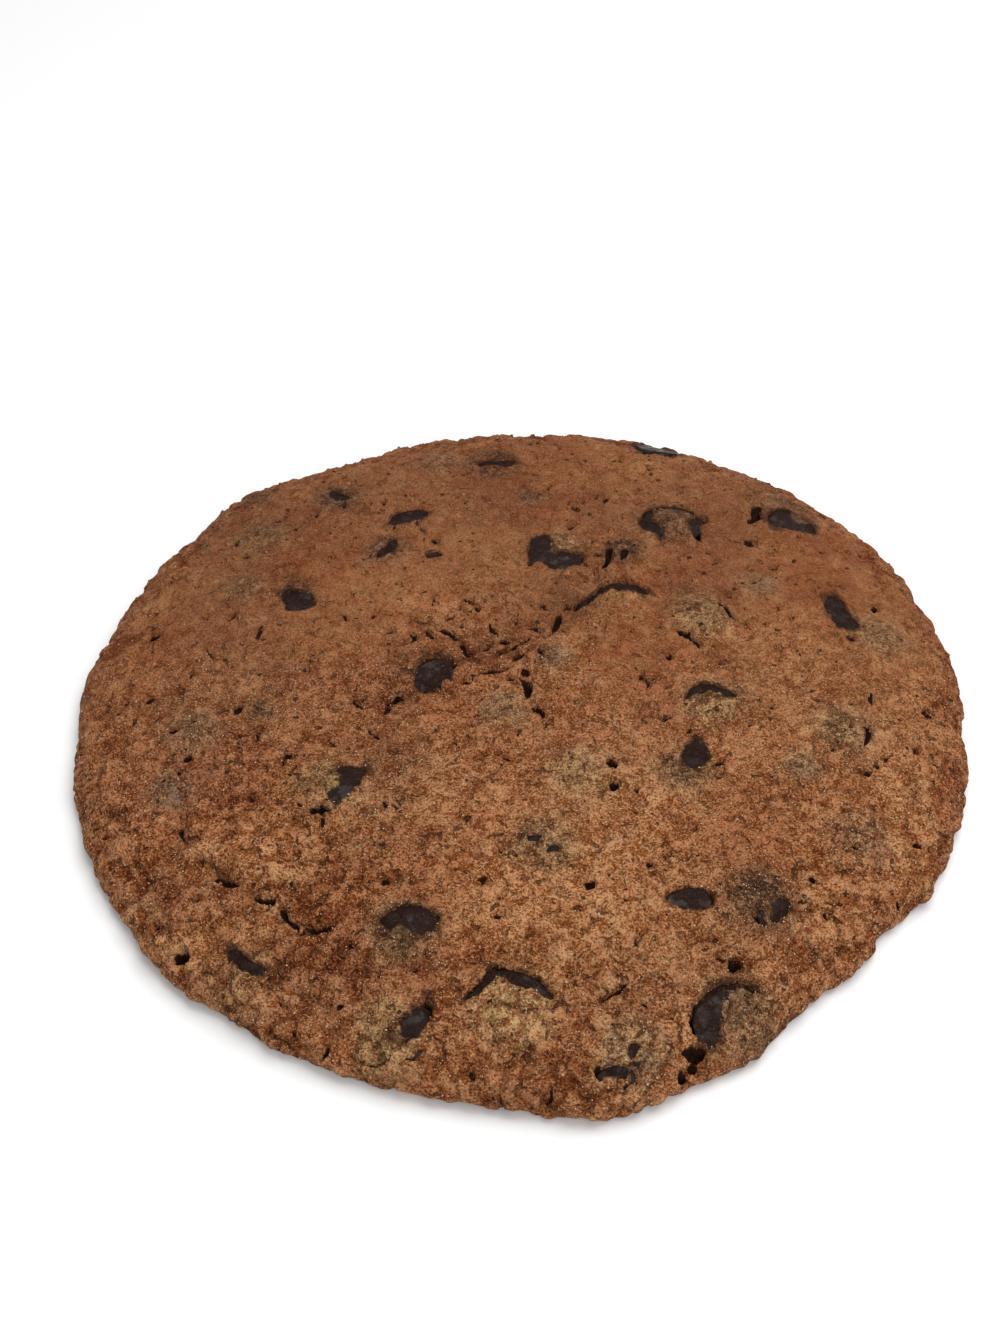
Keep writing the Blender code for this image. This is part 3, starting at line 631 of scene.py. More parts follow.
class Look:
    """Adds nodes to the tree of a material or a group, with its patterns read at one place."""

    def __init__(self, tree, place):
        self.tree = tree
        self.place = place

    def fill(self, node, inputs):
        """Give a node's inputs numbers, colours or the outputs of other nodes."""
        for key, value in inputs.items():
            socket = node.inputs[key]
            if isinstance(value, bpy.types.NodeSocket):
                self.tree.links.new(value, socket)
            else:
                socket.default_value = (*value, 1.0) if socket.type == "RGBA" else value
        return node

    def add(self, kind, inputs, **options):
        """A new node with its options and inputs set."""
        node = self.tree.nodes.new(f"ShaderNode{kind}")
        for name, value in options.items():
            setattr(node, name, value)
        return self.fill(node, inputs)

    def maths(self, operation, first, second):
        """One value worked out from two."""
        return self.add("Math", {0: first, 1: second}, operation=operation).outputs[0]

    def times(self, first, second):
        """Product of two values."""
        return self.maths("MULTIPLY", first, second)

    def total(self, *parts):
        """Sum of values, each times its weight."""
        values = [self.times(value, weight) for value, weight in parts]
        result = values[0]
        for value in values[1:]:
            result = self.maths("ADD", result, value)
        return result

    def smooth(self, value, low, high, to_low=0.0, to_high=1.0):
        """A smooth remap of a value from one range to another."""
        inputs = {"Value": value, "From Min": low, "From Max": high, "To Min": to_low, "To Max": to_high}
        return self.add("MapRange", inputs, interpolation_type="SMOOTHSTEP").outputs["Result"]

    def mix(self, factor, first, second, blend="MIX"):
        """The first colour shifted to the second by a factor."""
        inputs = {0: factor, 6: first, 7: second}
        return self.add("Mix", inputs, data_type="RGBA", blend_type=blend, clamp_factor=True).outputs[2]

    def dye(self, colour, tint):
        """A colour multiplied by a tint."""
        return self.mix(1.0, colour, tint, "MULTIPLY")

    def shift(self, colour, mask, strength, shade):
        """A colour shifted to a shade by a mask of a given strength."""
        return self.mix(self.times(mask, strength), colour, shade)

    def noise(self, size, detail=2.0, roughness=0.5, distortion=0.0):
        """Fractal noise with a feature size in millimetres, as a value from 0 to 1."""
        inputs = {"Vector": self.place, "Scale": 1.0 / (size * MM), "Detail": detail}
        inputs.update({"Roughness": roughness, "Distortion": distortion})
        return self.add("TexNoise", inputs).outputs["Fac"]

    def blotches(self, size, low, high, detail=4.0, roughness=0.6):
        """Blotches of noise, from 0 where it is under the low value to 1 over the high one."""
        return self.smooth(self.noise(size, detail, roughness), low, high)

    def torn(self, mask, pattern, reach):
        """A mask whose edge is torn by a pattern."""
        return self.maths("ADD", mask, self.times(self.maths("SUBTRACT", pattern, 0.5), reach))

    def torn_place(self, size, reach):
        """The place shifted by noise of a size and reach in millimetres, which tears even patterns."""
        inputs = {"Vector": self.place, "Scale": 1.0 / (size * MM), "Detail": 3.0}
        wander = self.add("TexNoise", inputs).outputs["Color"]
        inputs = {0: wander, 1: (reach * MM,) * 3, 2: self.place}
        return self.add("VectorMath", inputs, operation="MULTIPLY_ADD").outputs[0]

    def cells(self, place, size, feature="F1"):
        """Cells with a size in millimetres."""
        inputs = {"Vector": place, "Scale": 1.0 / (size * MM)}
        return self.add("TexVoronoi", inputs, feature=feature).outputs

    def channels(self, colour):
        """The three channels of a colour."""
        return self.add("SeparateColor", {0: colour}).outputs

    def mask(self, name):
        """A mask stored on the piece's own vertices."""
        return self.add("Attribute", {}, attribute_name=name).outputs["Fac"]

    def bump(self, height, strength, distance, below=None):
        """A bump from a height, over another bump where there is one."""
        node = self.add("Bump", {"Height": height, "Strength": strength, "Distance": distance * MM})
        if below is not None:
            self.fill(node, {"Normal": below})
        return node.outputs["Normal"]

    def shared(self, name, maker):
        """The outputs of a shared group, built the first time that it is asked for."""
        group = bpy.data.node_groups.get(name) or maker(name)
        return self.add("Group", {"Vector": self.place}, node_tree=group).outputs


def new_group(name, outputs):
    """The look and the output node of a new shader group that is read at a vector."""
    group = bpy.data.node_groups.new(name, "ShaderNodeTree")
    group.interface.new_socket(name="Vector", in_out="INPUT", socket_type="NodeSocketVector")
    for label in outputs:
        group.interface.new_socket(name=label, in_out="OUTPUT", socket_type="NodeSocketFloat")
    place = group.nodes.new("NodeGroupInput").outputs["Vector"]
    return Look(group, place), group.nodes.new("NodeGroupOutput")


def new_material(name):
    """A material with its look at object coordinates and its shader."""
    material = bpy.data.materials.new(name)
    material.use_nodes = True
    tree = material.node_tree
    place = tree.nodes.new("ShaderNodeTexCoord").outputs["Object"]
    return material, Look(tree, place), tree.nodes["Principled BSDF"]


def make_grain_group(name):
    """Baked grain: shade, height, glints, pores and the gaps between lumps; the shade shares noise with the
    height, so it is partly painted light and shade.
    """
    look, result = new_group(name, ("Shade", "Height", "Glint", "Pore", "Gap"))
    grit = look.noise(0.26, roughness=0.6)
    soft = look.noise(0.8, detail=3.0, roughness=0.6)
    sparkle = look.noise(0.2, detail=1.0, distortion=0.4)
    lumps = look.noise(2.2, detail=3.0, roughness=0.55)
    crumb = look.cells(look.torn_place(0.9, 1.5), 1.5)
    sparse = look.cells(look.place, 1.5)
    crumb_random = look.channels(crumb["Color"])
    sparse_random = look.channels(sparse["Color"])
    gap = look.times(look.smooth(crumb["Distance"], 0.45, 0.8), look.blotches(3.0, 0.46, 0.6, detail=3.0))
    reach = look.maths("ADD", look.times(sparse_random[2], 1.2), 0.6)
    away = look.torn(look.maths("DIVIDE", sparse["Distance"], reach), grit, 0.25)
    pore = look.times(look.smooth(sparse_random[1], 0.6, 0.62), look.smooth(away, 0.13, 0.08))
    outcome = {
        "Shade": look.total((grit, 0.62), (soft, 0.28), (crumb_random[0], 0.1)),
        "Height": look.total((grit, 0.5), (soft, 1.2), (lumps, 2.4)),
        "Glint": look.smooth(sparkle, 0.64, 0.72),
        "Pore": pore,
        "Gap": gap,
    }
    look.fill(result, outcome)
    return look.tree


def make_crazing_group(name):
    """Fine cracks that run between cells of crust and fade in and out."""
    look, result = new_group(name, ("Crack",))
    edge = look.cells(look.torn_place(0.9, 1.4), 2.7, "DISTANCE_TO_EDGE")
    line = look.smooth(edge["Distance"], 0.08, 0.015)
    shown = look.blotches(1.6, 0.52, 0.68, detail=3.0, roughness=0.5)
    look.fill(result, {"Crack": look.times(line, shown)})
    return look.tree


def dough_colour(look, grain, painted):
    """Colour of baked dough: browning zones, mottling, grain, and the masks painted on the crust, with
    painted light and shade on crags, grain, gaps, openings, glints and pores.
    """
    dough = settings()
    zones = look.blotches(14.0, 0.38, 0.62, detail=3.0, roughness=0.5)
    colour = look.mix(zones, dough.red_brown, dough.golden_brown)
    colour = look.shift(colour, look.blotches(3.0, 0.42, 0.68), 0.32, dough.tan)
    colour = look.shift(colour, look.blotches(5.0, 0.5, 0.66), 0.45, dough.red_brown)
    colour = look.shift(colour, look.blotches(8.0, 0.5, 0.68), 0.22, dough.dark_brown)
    if painted:
        # Patch masks: browning, with painted light along the near rim and painted shade over the far and
        # left parts
        for name, shade in (("tan", dough.tan), ("red", dough.red_brown), ("dark", dough.dark_brown)):
            colour = look.shift(colour, look.mask(name), 0.62, shade)
        # Painted light and shade: crag tops lightened and the seams between crags darkened
        crag_light_and_shade = look.mask("crag_light_and_shade")
        colour = look.mix(look.smooth(crag_light_and_shade, 0.58, 0.95), colour, look.dye(colour, CRAG_TOP_PAINTED_LIGHT))
        colour = look.mix(look.smooth(crag_light_and_shade, 0.42, 0.1), colour, look.dye(colour, CRAG_SEAM_PAINTED_SHADE))
    hue = look.blotches(1.7, 0.36, 0.64, roughness=0.65)
    colour = look.mix(hue, look.dye(colour, ORANGE_TINT), look.dye(colour, YELLOW_TINT))
    # Grain tone, partly painted light and shade: it shares noise with the bump, so it is lighter where the
    # bump rises and darker where it dips
    shade = look.smooth(grain["Shade"], 0.4, 0.6)
    grained = look.mix(shade, look.dye(colour, DEEP_GRAIN_AND_SHADE), look.dye(colour, LIGHT_GRAIN_AND_LIGHT))
    strength = look.smooth(look.mask("rough"), 0.0, 1.0, 0.3, 1.0) if painted else 0.8
    colour = look.mix(strength, colour, grained)
    # Painted shade: the gaps between lumps darkened
    gap = look.times(grain["Gap"], strength)
    colour = look.shift(colour, gap, 0.6, look.dye(colour, GAP_PAINTED_SHADE))
    if painted:
        colour = cover_colour(look, colour, shade)
        # Painted shade: a dark ring of crust round each opening over a chip
        shade_halo = look.torn(look.mask("shade_halo"), look.noise(1.7, roughness=0.6), 1.6)
        colour = look.shift(colour, look.smooth(shade_halo, 0.5, 1.0), 0.8, HALO_PAINTED_SHADE)
    # Painted highlights: glint specks lightened to gold
    colour = look.shift(colour, look.times(grain["Glint"], strength), 0.6, GLINT_PAINTED_HIGHLIGHT)
    # Painted shade: pores darkened to near black
    return look.shift(colour, grain["Pore"], 0.8, PORE_PAINTED_SHADE)


def cover_colour(look, colour, shade):
    """Thin dough over a chip: pale olive, grey or dark mottling with chocolate flecks."""
    blotch = look.noise(1.2, detail=3.0, roughness=0.65)
    other = look.noise(1.7, roughness=0.6)
    pale, grey, deep = (look.mask(name) for name in COVERS)
    bright, ash, dim = (look.mix(shade, *colours) for colours in COVERS.values())
    for mask, pattern, low, high, strength, tint in (
        (pale, blotch, 0.38, 0.58, 0.9, bright),
        (pale, blotch, 0.48, 0.36, 0.4, COVER_BROWN),
        (grey, other, 0.35, 0.58, 0.75, ash),
        (deep, other, 0.64, 0.42, 0.85, dim),
    ):
        colour = look.shift(colour, look.times(mask, look.smooth(pattern, low, high)), strength, tint)
    fleck = look.maths("ADD", look.noise(0.55, detail=3.0, roughness=0.7), look.times(deep, 0.12))
    covered = look.smooth(look.maths("MAXIMUM", pale, deep), 0.15, 0.5)
    return look.shift(colour, look.times(look.smooth(fleck, 0.6, 0.67), covered), 0.7, FLECK_BROWN)


def make_dough_material(name):
    """Baked dough with grain, glints, pores and fine cracks: painted highlights on the glints, painted shade
    in the pores, cracks and hollows.
    """
    painted, bake = BAKES[name]
    material, look, shader = new_material(name)
    grain = look.shared("baked_grain", make_grain_group)
    rough = look.mask("rough") if painted else 0.6
    crack = look.shared("crust_crazing", make_crazing_group)["Crack"]
    crack = look.times(crack, look.maths("MAXIMUM", rough, 0.55))
    # Painted shade: the fine cracks darkened
    colour = look.shift(dough_colour(look, grain, painted), crack, 0.9, CRACK_PAINTED_SHADE)
    if painted:
        # Painted shade: splits, pits and the crust under the openings darkened, more the deeper they are
        hollow = look.torn(look.mask("hollow"), look.noise(0.5, detail=3.0, roughness=0.6), 0.7)
        colour = look.mix(look.smooth(hollow, 0.3, 0.62), colour, HOLLOW_PAINTED_SHADE)
    gap = look.times(grain["Gap"], rough)
    height = look.total((grain["Height"], 1.0), (grain["Pore"], -1.2), (gap, -0.9), (crack, -1.4))
    finish = {
        "Base Color": look.dye(colour, bake),
        "Roughness": look.smooth(grain["Glint"], 0.0, 1.0, 0.75, 0.3),
        "Specular IOR Level": 0.08,
        "Normal": look.bump(height, 1.0, 0.42),
    }
    look.fill(shader, finish)
    return material


def make_chocolate_material():
    """Baked chocolate: near black, a little waxy, dusted with flecks of dough and bloom."""
    material, look, shader = new_material("chocolate")
    grain = look.shared("baked_grain", make_grain_group)
    bloom = look.blotches(1.6, 0.55, 0.72, roughness=0.65)
    dust = look.blotches(0.4, 0.6, 0.68, detail=3.0, roughness=0.75)
    colour = look.shift(settings().chocolate, bloom, 0.5, BLOOM_GREY)
    colour = look.shift(colour, dust, 0.45, DUST_BROWN)
    shade = look.smooth(grain["Shade"], 0.34, 0.66)
    cover = cover_colour(look, look.mix(shade, *FILM_COLOURS), shade)
    film = look.torn(look.mask("film"), look.noise(0.9, detail=4.0, roughness=0.7), 1.8)
    film = look.smooth(film, 0.42, 0.62)
    rough = look.maths("MAXIMUM", bloom, film)
    gloss = look.blotches(1.3, 0.5, 0.62, detail=2.0, roughness=0.5)
    gloss = look.times(gloss, look.maths("SUBTRACT", 1.0, rough))
    relief = look.bump(look.noise(1.8, detail=5.0, roughness=0.6), 1.0, 0.75)
    finish = {
        "Base Color": look.mix(film, colour, cover),
        "Roughness": look.smooth(rough, 0.0, 1.0, 0.3, 0.7),
        "Specular IOR Level": 0.06,
        "Coat Weight": look.times(gloss, 0.22),
        "Coat Roughness": 0.33,
        "Normal": look.bump(grain["Height"], 0.3, 0.15, relief),
    }
    look.fill(shader, finish)
    return material


def make_sugar_material():
    """Small clear-pale sugar crystals."""
    material, look, shader = new_material("sugar")
    tint = look.noise(0.8)
    finish = {
        "Base Color": look.mix(tint, *SUGAR_COLOURS),
        "Roughness": look.smooth(tint, 0.2, 0.8, 0.3, 0.5),
        "Specular IOR Level": 0.3,
    }
    look.fill(shader, finish)
    return material


# Crust


def place_even_crust(u, v, rings_down, rings):
    """Smooth form of the crust in millimetres, from the flat pattern's own coordinates."""
    dough = settings()
    angle, share = square_to_disc(u, v)
    widest = rim_radius(angle)
    step = rings_down / rings
    shoulder = np.clip(step / dough.shoulder_share, 0.0, 1.0)
    foot = np.clip((step - dough.shoulder_share) / (1.0 - dough.shoulder_share), 0.0, 1.0)
    across = share * dough.grid_share + (1.0 - dough.grid_share) * np.sin(np.pi / 2.0 * shoulder)
    bend = np.pi / 2.0 * foot
    height = shoulder_height(across) - dough.edge_height / MM * np.sin(bend)
    inset = dough.foot_inset / MM * (1.0 - np.cos(bend))
    radius = across * widest - inset + share**RIM_LUMP_POWER * rim_lumps(angle, height)
    return round_centre(radius, angle, height)


def tint_masks(x, y):
    """How pale, grey or deep the thin dough over a chip looks at each place."""
    tints = {name: np.zeros_like(x) for name in COVERS}
    for mound_x, mound_y, width, _, *strengths in MOUNDS:
        shade = spot(x, y, mound_x, mound_y, width, COVER_POWER)
        for name, strength in zip(tints, strengths):
            tints[name] = np.maximum(tints[name], strength * shade)
    return tints


def film_mask(x, y):
    """1 where dough still covers part of an opened chip, to 0 where the chip is bare."""
    film = np.zeros_like(x)
    for film_x, film_y, width in FILMS:
        film = np.maximum(film, spot(x, y, film_x, film_y, width, COVER_POWER))
    return film


def crumbly(places, across):
    """How crumbly the crust is at each place, within its limits."""
    everywhere, rim, chance = CRUMBLY_SHARES
    strength = everywhere + rim * fade(across, full=0.97, none=0.84)
    strength += chance * ripple(places, 11.0, seed=4.4)
    for rough_x, rough_y, width, rise in CRUMBLY_PLACES:
        strength += rise * spot(places[:, 0], places[:, 1], rough_x, rough_y, width, 2)
    return np.clip(strength, *CRUMBLY_LIMITS)


def paint_crust(mesh, x, y, foot):
    """Store the masks of tints and of browning patches, some of them painted light and shade, with the
    darker foot of the side.
    """
    patches = {"tan": np.zeros_like(x), "red": np.zeros_like(x), "dark": foot}
    for patch_x, patch_y, width, *strengths in BROWNING_AND_LIGHTING_PATCHES:
        shade = spot(x, y, patch_x, patch_y, width, 2)
        for name, strength in zip(patches, strengths):
            patches[name] += strength * shade
    for name, values in (*tint_masks(x, y).items(), *patches.items()):
        set_mask(mesh, name, values)


def crag_height(places):
    """Crumbly lumps with sunk seams between them, in millimetres."""
    spread = places + CRAG_WANDER * ripple(places, 1.7, seed=7.0)[:, None]
    nearest, second = cells(spread, CRAG_SIZE, seed=9.0)
    between = fade(second - nearest, full=0.03, none=0.22)
    seams = between * fade(ripple(places, 3.0, seed=1.7), full=0.1, none=-0.25)
    lump = CRAG_HEIGHT * (0.5 - nearest) + SWELL_HEIGHT * ripple(places, SWELL_SIZE, seed=2.6)
    return lump - SEAM_DEPTH * seams + CRUMB_HEIGHT * ripple(places, CRUMB_SIZE, seed=6.0)


def build_crust():
    """Top and side of the cookie, with all its relief."""
    dough = settings()
    piece = disc_with_rings("crust", (dough.grid_columns, dough.grid_rows), dough.side_rings)
    mesh = piece.data
    flat = read_places(mesh)
    u, v = flat[:, 0], flat[:, 1] + dough.near_detail * (flat[:, 1] ** 2 - 1.0)
    even = place_even_crust(u, v, -flat[:, 2], dough.side_rings)
    write_places(mesh, even)
    normals = vertex_normals(mesh)
    x, y = even[:, 0], even[:, 1]
    _, share = square_to_disc(u, v)
    top = fade(normals[:, 2], full=0.55, none=0.25)
    half_ring = 0.5
    on_side = flat[:, 2] < -half_ring
    across = share * dough.grid_share
    lift = np.where(on_side, EDGE_RELIEF * top, relief_share(across)) * broad_relief(x, y)
    ragged = RAGGED_EDGE * ripple(even, 1.3, seed=1.0) + RAGGED_EDGE * ripple(even, 0.7, seed=2.0)
    out = window_distance(*wander(even, wavelength=1.9, reach=0.5, seed=3.0), ragged)
    window = top * fade(out, *WINDOW_WALL)
    lip = top * fade(out, full=1.25, none=1.9) * fade(out, full=1.2, none=0.95) * LIP_HEIGHT
    lip *= ripple(even, 1.5, seed=5.5)
    depth = hollow_depth(*wander(even, wavelength=1.5, reach=0.45, seed=8.0), ragged)
    depth = top * np.maximum(depth, pore_depth(x, y, dough.pores, seed=11))
    nearest, _ = cells(even, GRIT_SIZE, seed=3.0)
    crumbling = crumbly(even, across)
    crags = crumbling * crag_height(even)
    foot = fade(even[:, 2], full=0.8, none=0.1)
    grit = GRIT_HEIGHT * (0.5 - nearest) + SPECK_HEIGHT * ripple(even, SPECK_SIZE, seed=5.0)
    push = foot * (grit + crags)
    placed = even + normals * push[:, None]
    placed[:, 2] += lift + lip - depth - window * WINDOW_DEPTH
    paint_crust(mesh, x, y, FOOT_SHADE * fade(even[:, 2], full=0.3, none=1.4))
    everywhere, nearer, crumbled = ROUGH_SHARES
    # The hollow and halo masks hold painted shade, the crag mask painted light on tops and painted shade in
    # seams
    for name, values in (
        ("hollow", np.maximum(depth / FULL_SHADE_DEPTH, WINDOW_SHADE * window)),
        ("shade_halo", top * fade(out, *SHADE_HALO_WALL)),
        ("crag_light_and_shade", 0.5 + CRAG_SHADING_CONTRAST * crags),
        ("rough", everywhere + nearer * fade(y, full=-20.0, none=22.0) + crumbled * crumbling),
    ):
        set_mask(mesh, name, values)
    cap = flat[:, 2] < -dough.side_rings + half_ring
    outward = placed[cap, :2] - RIM_CENTRE
    placed[cap, :2] -= CAP_INSET * outward / np.hypot(outward[:, 0], outward[:, 1])[:, None]
    placed[cap, 2] = CAP_HEIGHT
    write_places(mesh, placed)
    return piece


def to_frame(piece):
    """Move a piece from feature millimetres to frame metres."""
    middle = outline_middle()
    places = read_places(piece.data)
    places[:, 0] -= middle[0]
    places[:, 1] -= middle[1]
    write_places(piece.data, places * MM)


class COOKIE_OT_crust(bpy.types.Operator):
    """Build the baked top and side, with mounds, splits, pits and openings over the chips"""

    bl_idname = "cookie.crust"
    bl_label = "Crust"

    def execute(self, context):
        piece = build_crust()
        to_frame(piece)
        finish_piece(piece, make_dough_material("crust_dough"))
        return {"FINISHED"}


class COOKIE_OT_underside(bpy.types.Operator):
    """Build the flat browned underside with its thin lip"""

    bl_idname = "cookie.underside"
    bl_label = "Underside"

    def execute(self, context):
        dough = context.scene.cookie
        piece = disc_with_rings("underside", (dough.underside_cells, dough.underside_cells), UNDERSIDE_RINGS)
        flat = read_places(piece.data)
        angle, share = square_to_disc(flat[:, 0], flat[:, 1])
        ring = np.rint(-flat[:, 2])
        foot = rim_radius(angle) - dough.foot_inset / MM + rim_lumps(angle, np.zeros_like(angle))
        radius = share * (foot + UNDERSIDE_OVERLAP - RING_STEP_IN * ring)
        placed = round_centre(radius, angle, np.zeros_like(angle))
        pits = pore_depth(placed[:, 0], placed[:, 1], dough.pores, seed=23)
        nearest, _ = cells(placed, 2.2, seed=3.0)
        texture = UNDERSIDE_CELL_RISE * nearest + UNDERSIDE_WAVE_RISE * (1.0 + ripple(placed, 5.0, seed=2.0))
        inside = fade(share, full=0.96, none=1.0)
        relief = inside * (texture + UNDERSIDE_PIT_SHARE * pits)
        placed[:, 2] = np.where(ring > 0, RING_STEP_UP * ring, relief)
        write_places(piece.data, placed)
        piece.data.flip_normals()
        to_frame(piece)
        finish_piece(piece, make_dough_material("underside_dough"))
        return {"FINISHED"}


def surface_height(points):
    """Height of the even crust with its broad relief at places, in millimetres."""
    x, y = points[:, 0], points[:, 1]
    from_x, from_y = x - RIM_CENTRE[0], y - RIM_CENTRE[1]
    angle = np.degrees(np.arctan2(from_y, from_x))
    across = np.clip(np.hypot(from_x, from_y) / rim_radius(angle), 0.0, 1.0)
    return shoulder_height(across) + relief_share(across) * broad_relief(x, y)


def build_chip(number, chip, level):
    """A lumpy chip cut off under the crust's own level, with the dough left on it as masks."""
    x, y, length, width, turn, under = chip
    piece = add_ball(f"chip_{number}", CHIP_DETAIL)
    ball = read_places(piece.data)
    lumps = 1.0 + CHIP_LUMP * ripple(ball, 0.9, seed=number)
    lumps += CHIP_DENT * ripple(ball, 0.3, seed=number + 0.5)
    ball *= lumps[:, None]
    ball[:, 2] = np.sign(ball[:, 2]) * np.abs(ball[:, 2]) ** CHIP_SQUARENESS
    ball *= (length / 2.0, width / 2.0, CHIP_THICKNESS / 2.0)
    spin = math.radians(turn)
    placed_x = x + ball[:, 0] * math.cos(spin) - ball[:, 1] * math.sin(spin)
    placed_y = y + ball[:, 0] * math.sin(spin) + ball[:, 1] * math.cos(spin)
    placed_z = level + CHIP_RISE - under - CHIP_THICKNESS / 2.0 + ball[:, 2]
    placed = np.stack([placed_x, placed_y, placed_z], axis=1)
    ceiling = surface_height(placed) - under - CHIP_COVER + CHIP_RIPPLE * ripple(placed, 1.4, seed=number)
    placed[:, 2] = np.minimum(placed[:, 2], ceiling)
    masks = {"film": film_mask(placed_x, placed_y), **tint_masks(placed_x, placed_y)}
    for name, values in masks.items():
        set_mask(piece.data, name, values)
    write_places(piece.data, placed)
    return piece


class COOKIE_OT_chips(bpy.types.Operator):
    """Build the chocolate chips, sunk in the crust's openings"""

    bl_idname = "cookie.chips"
    bl_label = "Chocolate chips"

    def execute(self, context):
        levels = surface_height(np.array([chip[:2] for chip in CHIPS]))
        made = [build_chip(number, *place) for number, place in enumerate(zip(CHIPS, levels), start=1)]
        for chip in made:
            chip.select_set(True)
        context.view_layer.objects.active = made[0]
        bpy.ops.object.join()
        piece = context.object
        piece.name = piece.data.name = "chocolate_chips"
        to_frame(piece)
        finish_piece(piece, make_chocolate_material())
        return {"FINISHED"}


def random_turn(draw):
    """A turn about a random axis, as a matrix."""
    axis = draw.standard_normal(4)
    axis /= np.linalg.norm(axis)
    w, a, b, c = axis
    return np.array(
        [
            [1 - 2 * (b * b + c * c), 2 * (a * b - c * w), 2 * (a * c + b * w)],
            [2 * (a * b + c * w), 1 - 2 * (a * a + c * c), 2 * (b * c - a * w)],
            [2 * (a * c - b * w), 2 * (b * c + a * w), 1 - 2 * (a * a + b * b)],
        ]
    )


def scatter(name, count, shape, keep):
    """Many turned copies of a small ball on the crust where keep allows it, joined as one piece."""
    detail, seed, widths, sink = shape
    crust = bpy.data.objects["crust"].data
    places = read_places(crust)
    normals = vertex_normals(crust)
    draw = np.random.default_rng(seed)
    able = np.flatnonzero(keep(places, normals))
    chosen = draw.choice(able, size=count, replace=False)
    pattern = add_ball(f"{name}_pattern", detail)
    points = read_places(pattern.data)
    faces = np.array([face.vertices[:] for face in pattern.data.polygons])
    bpy.data.objects.remove(pattern)
    all_points = []
    all_faces = []
    for number, index in enumerate(chosen):
        size = draw.uniform(*widths) * MM / 2.0
        shaped = points * draw.uniform(*GRAIN_STRETCHES, 3)
        shaped *= (1.0 + GRAIN_LUMPS * draw.standard_normal(len(points)))[:, None]
        middle = places[index] - normals[index] * size * sink
        all_points.append(middle + (shaped * size) @ random_turn(draw).T)
        all_faces.append(faces + number * len(points))
    mesh = bpy.data.meshes.new(name)
    mesh.from_pydata(np.concatenate(all_points).tolist(), [], np.concatenate(all_faces).tolist())
    piece = bpy.data.objects.new(name, mesh)
    bpy.context.collection.objects.link(piece)
    return piece


def crust_mask(name):
    """A mask of the crust, one value for each vertex."""
    attribute = bpy.data.objects["crust"].data.attributes[name]
    values = np.empty(len(attribute.data), dtype=np.float32)
    attribute.data.foreach_get("value", values)
    return values


def whole_crust(places):
    """True where the crust is neither in a hollow nor near the floor."""
    return (crust_mask("hollow") < HOLLOW_LIMIT) & (places[:, 2] > FLOOR_CLEARANCE * MM)


def sugary_crust(places, _):
    """True where the whole crust is coarse enough to hold sugar crystals that show."""
    coarse = crust_mask("rough") + 0.3 * ripple(places / MM, 3.0, seed=6.6)
    return whole_crust(places) & (coarse > COARSE_LIMIT)


def plain_crust(places, normals):
    """True where the whole crust faces up and shows neither a tint of a chip under it nor painted shade
    round an opening.
    """
    tint = np.max([crust_mask(name) for name in (*COVERS, "shade_halo")], axis=0)
    return whole_crust(places) & (tint < TINT_LIMIT) & (normals[:, 2] > FACING_UP)


class COOKIE_OT_crumbs(bpy.types.Operator):
    """Scatter baked-on grains of dough over the crust"""

    bl_idname = "cookie.crumbs"
    bl_label = "Crumbs"

    def execute(self, context):
        crumbs = scatter("crumbs", context.scene.cookie.crumbs, CRUMB_SHAPE, plain_crust)
        finish_piece(crumbs, make_dough_material("crumb_dough"))
        return {"FINISHED"}


class COOKIE_OT_sugar(bpy.types.Operator):
    """Scatter small sugar crystals over the crust"""

    bl_idname = "cookie.sugar"
    bl_label = "Sugar"

    def execute(self, context):
        sugar = scatter("sugar_crystals", context.scene.cookie.crystals, CRYSTAL_SHAPE, sugary_crust)
        finish_piece(sugar, make_sugar_material())
        return {"FINISHED"}


class COOKIE_OT_stage(bpy.types.Operator):
    """Set the pale floor, the soft studio light and the camera"""

    bl_idname = "cookie.stage"
    bl_label = "Stage"

    def execute(self, context):
        stage = context.scene.cookie
        middle = outline_middle()
        floor = add_piece("floor", bpy.ops.mesh.primitive_plane_add, size=FLOOR_WIDTH)
        material, look, shader = new_material("pale_floor")
        look.fill(shader, {"Base Color": stage.floor_colour, "Roughness": 0.9})
        floor.data.materials.append(material)
        for name, place, power in (
            ("key_light", KEY_PLACE, stage.key_power),
            ("fill_light", FILL_PLACE, stage.fill_power),
        ):
            lamp = bpy.data.lights.new(name, "AREA")
            lamp.size = LAMP_WIDTH
            lamp.energy = power
            light = bpy.data.objects.new(name, lamp)
            light.location = place
            light.rotation_euler = (-Vector(place)).to_track_quat("-Z", "Y").to_euler()
            context.collection.objects.link(light)
        world = bpy.data.worlds.new("studio")
        world.use_nodes = True
        background = world.node_tree.nodes["Background"]
        background.inputs["Color"].default_value = (1.0, 1.0, 1.0, 1.0)
        background.inputs["Strength"].default_value = stage.world_strength
        context.scene.world = world
        context.scene.view_settings.view_transform = "Standard"
        lens = bpy.data.cameras.new("camera")
        lens.lens = stage.lens
        camera = bpy.data.objects.new("camera", lens)
        target = Vector((stage.target_across - middle[0] * MM, stage.target_along - middle[1] * MM, 0.0))
        back = Vector((0.0, -math.cos(stage.elevation), math.sin(stage.elevation)))
        camera.location = target + back * stage.distance
        camera.rotation_euler = (math.pi / 2.0 - stage.elevation, 0.0, 0.0)
        context.collection.objects.link(camera)
        context.scene.camera = camera
        return {"FINISHED"}


def number_setting(name, description, default, **kind):
    """A plain number, or one with the unit or subtype given."""
    return bpy.props.FloatProperty(name=name, description=description, default=default, **kind)


def length_setting(name, description, default):
    """A length in metres."""
    return number_setting(name, description, default, unit="LENGTH", precision=5)


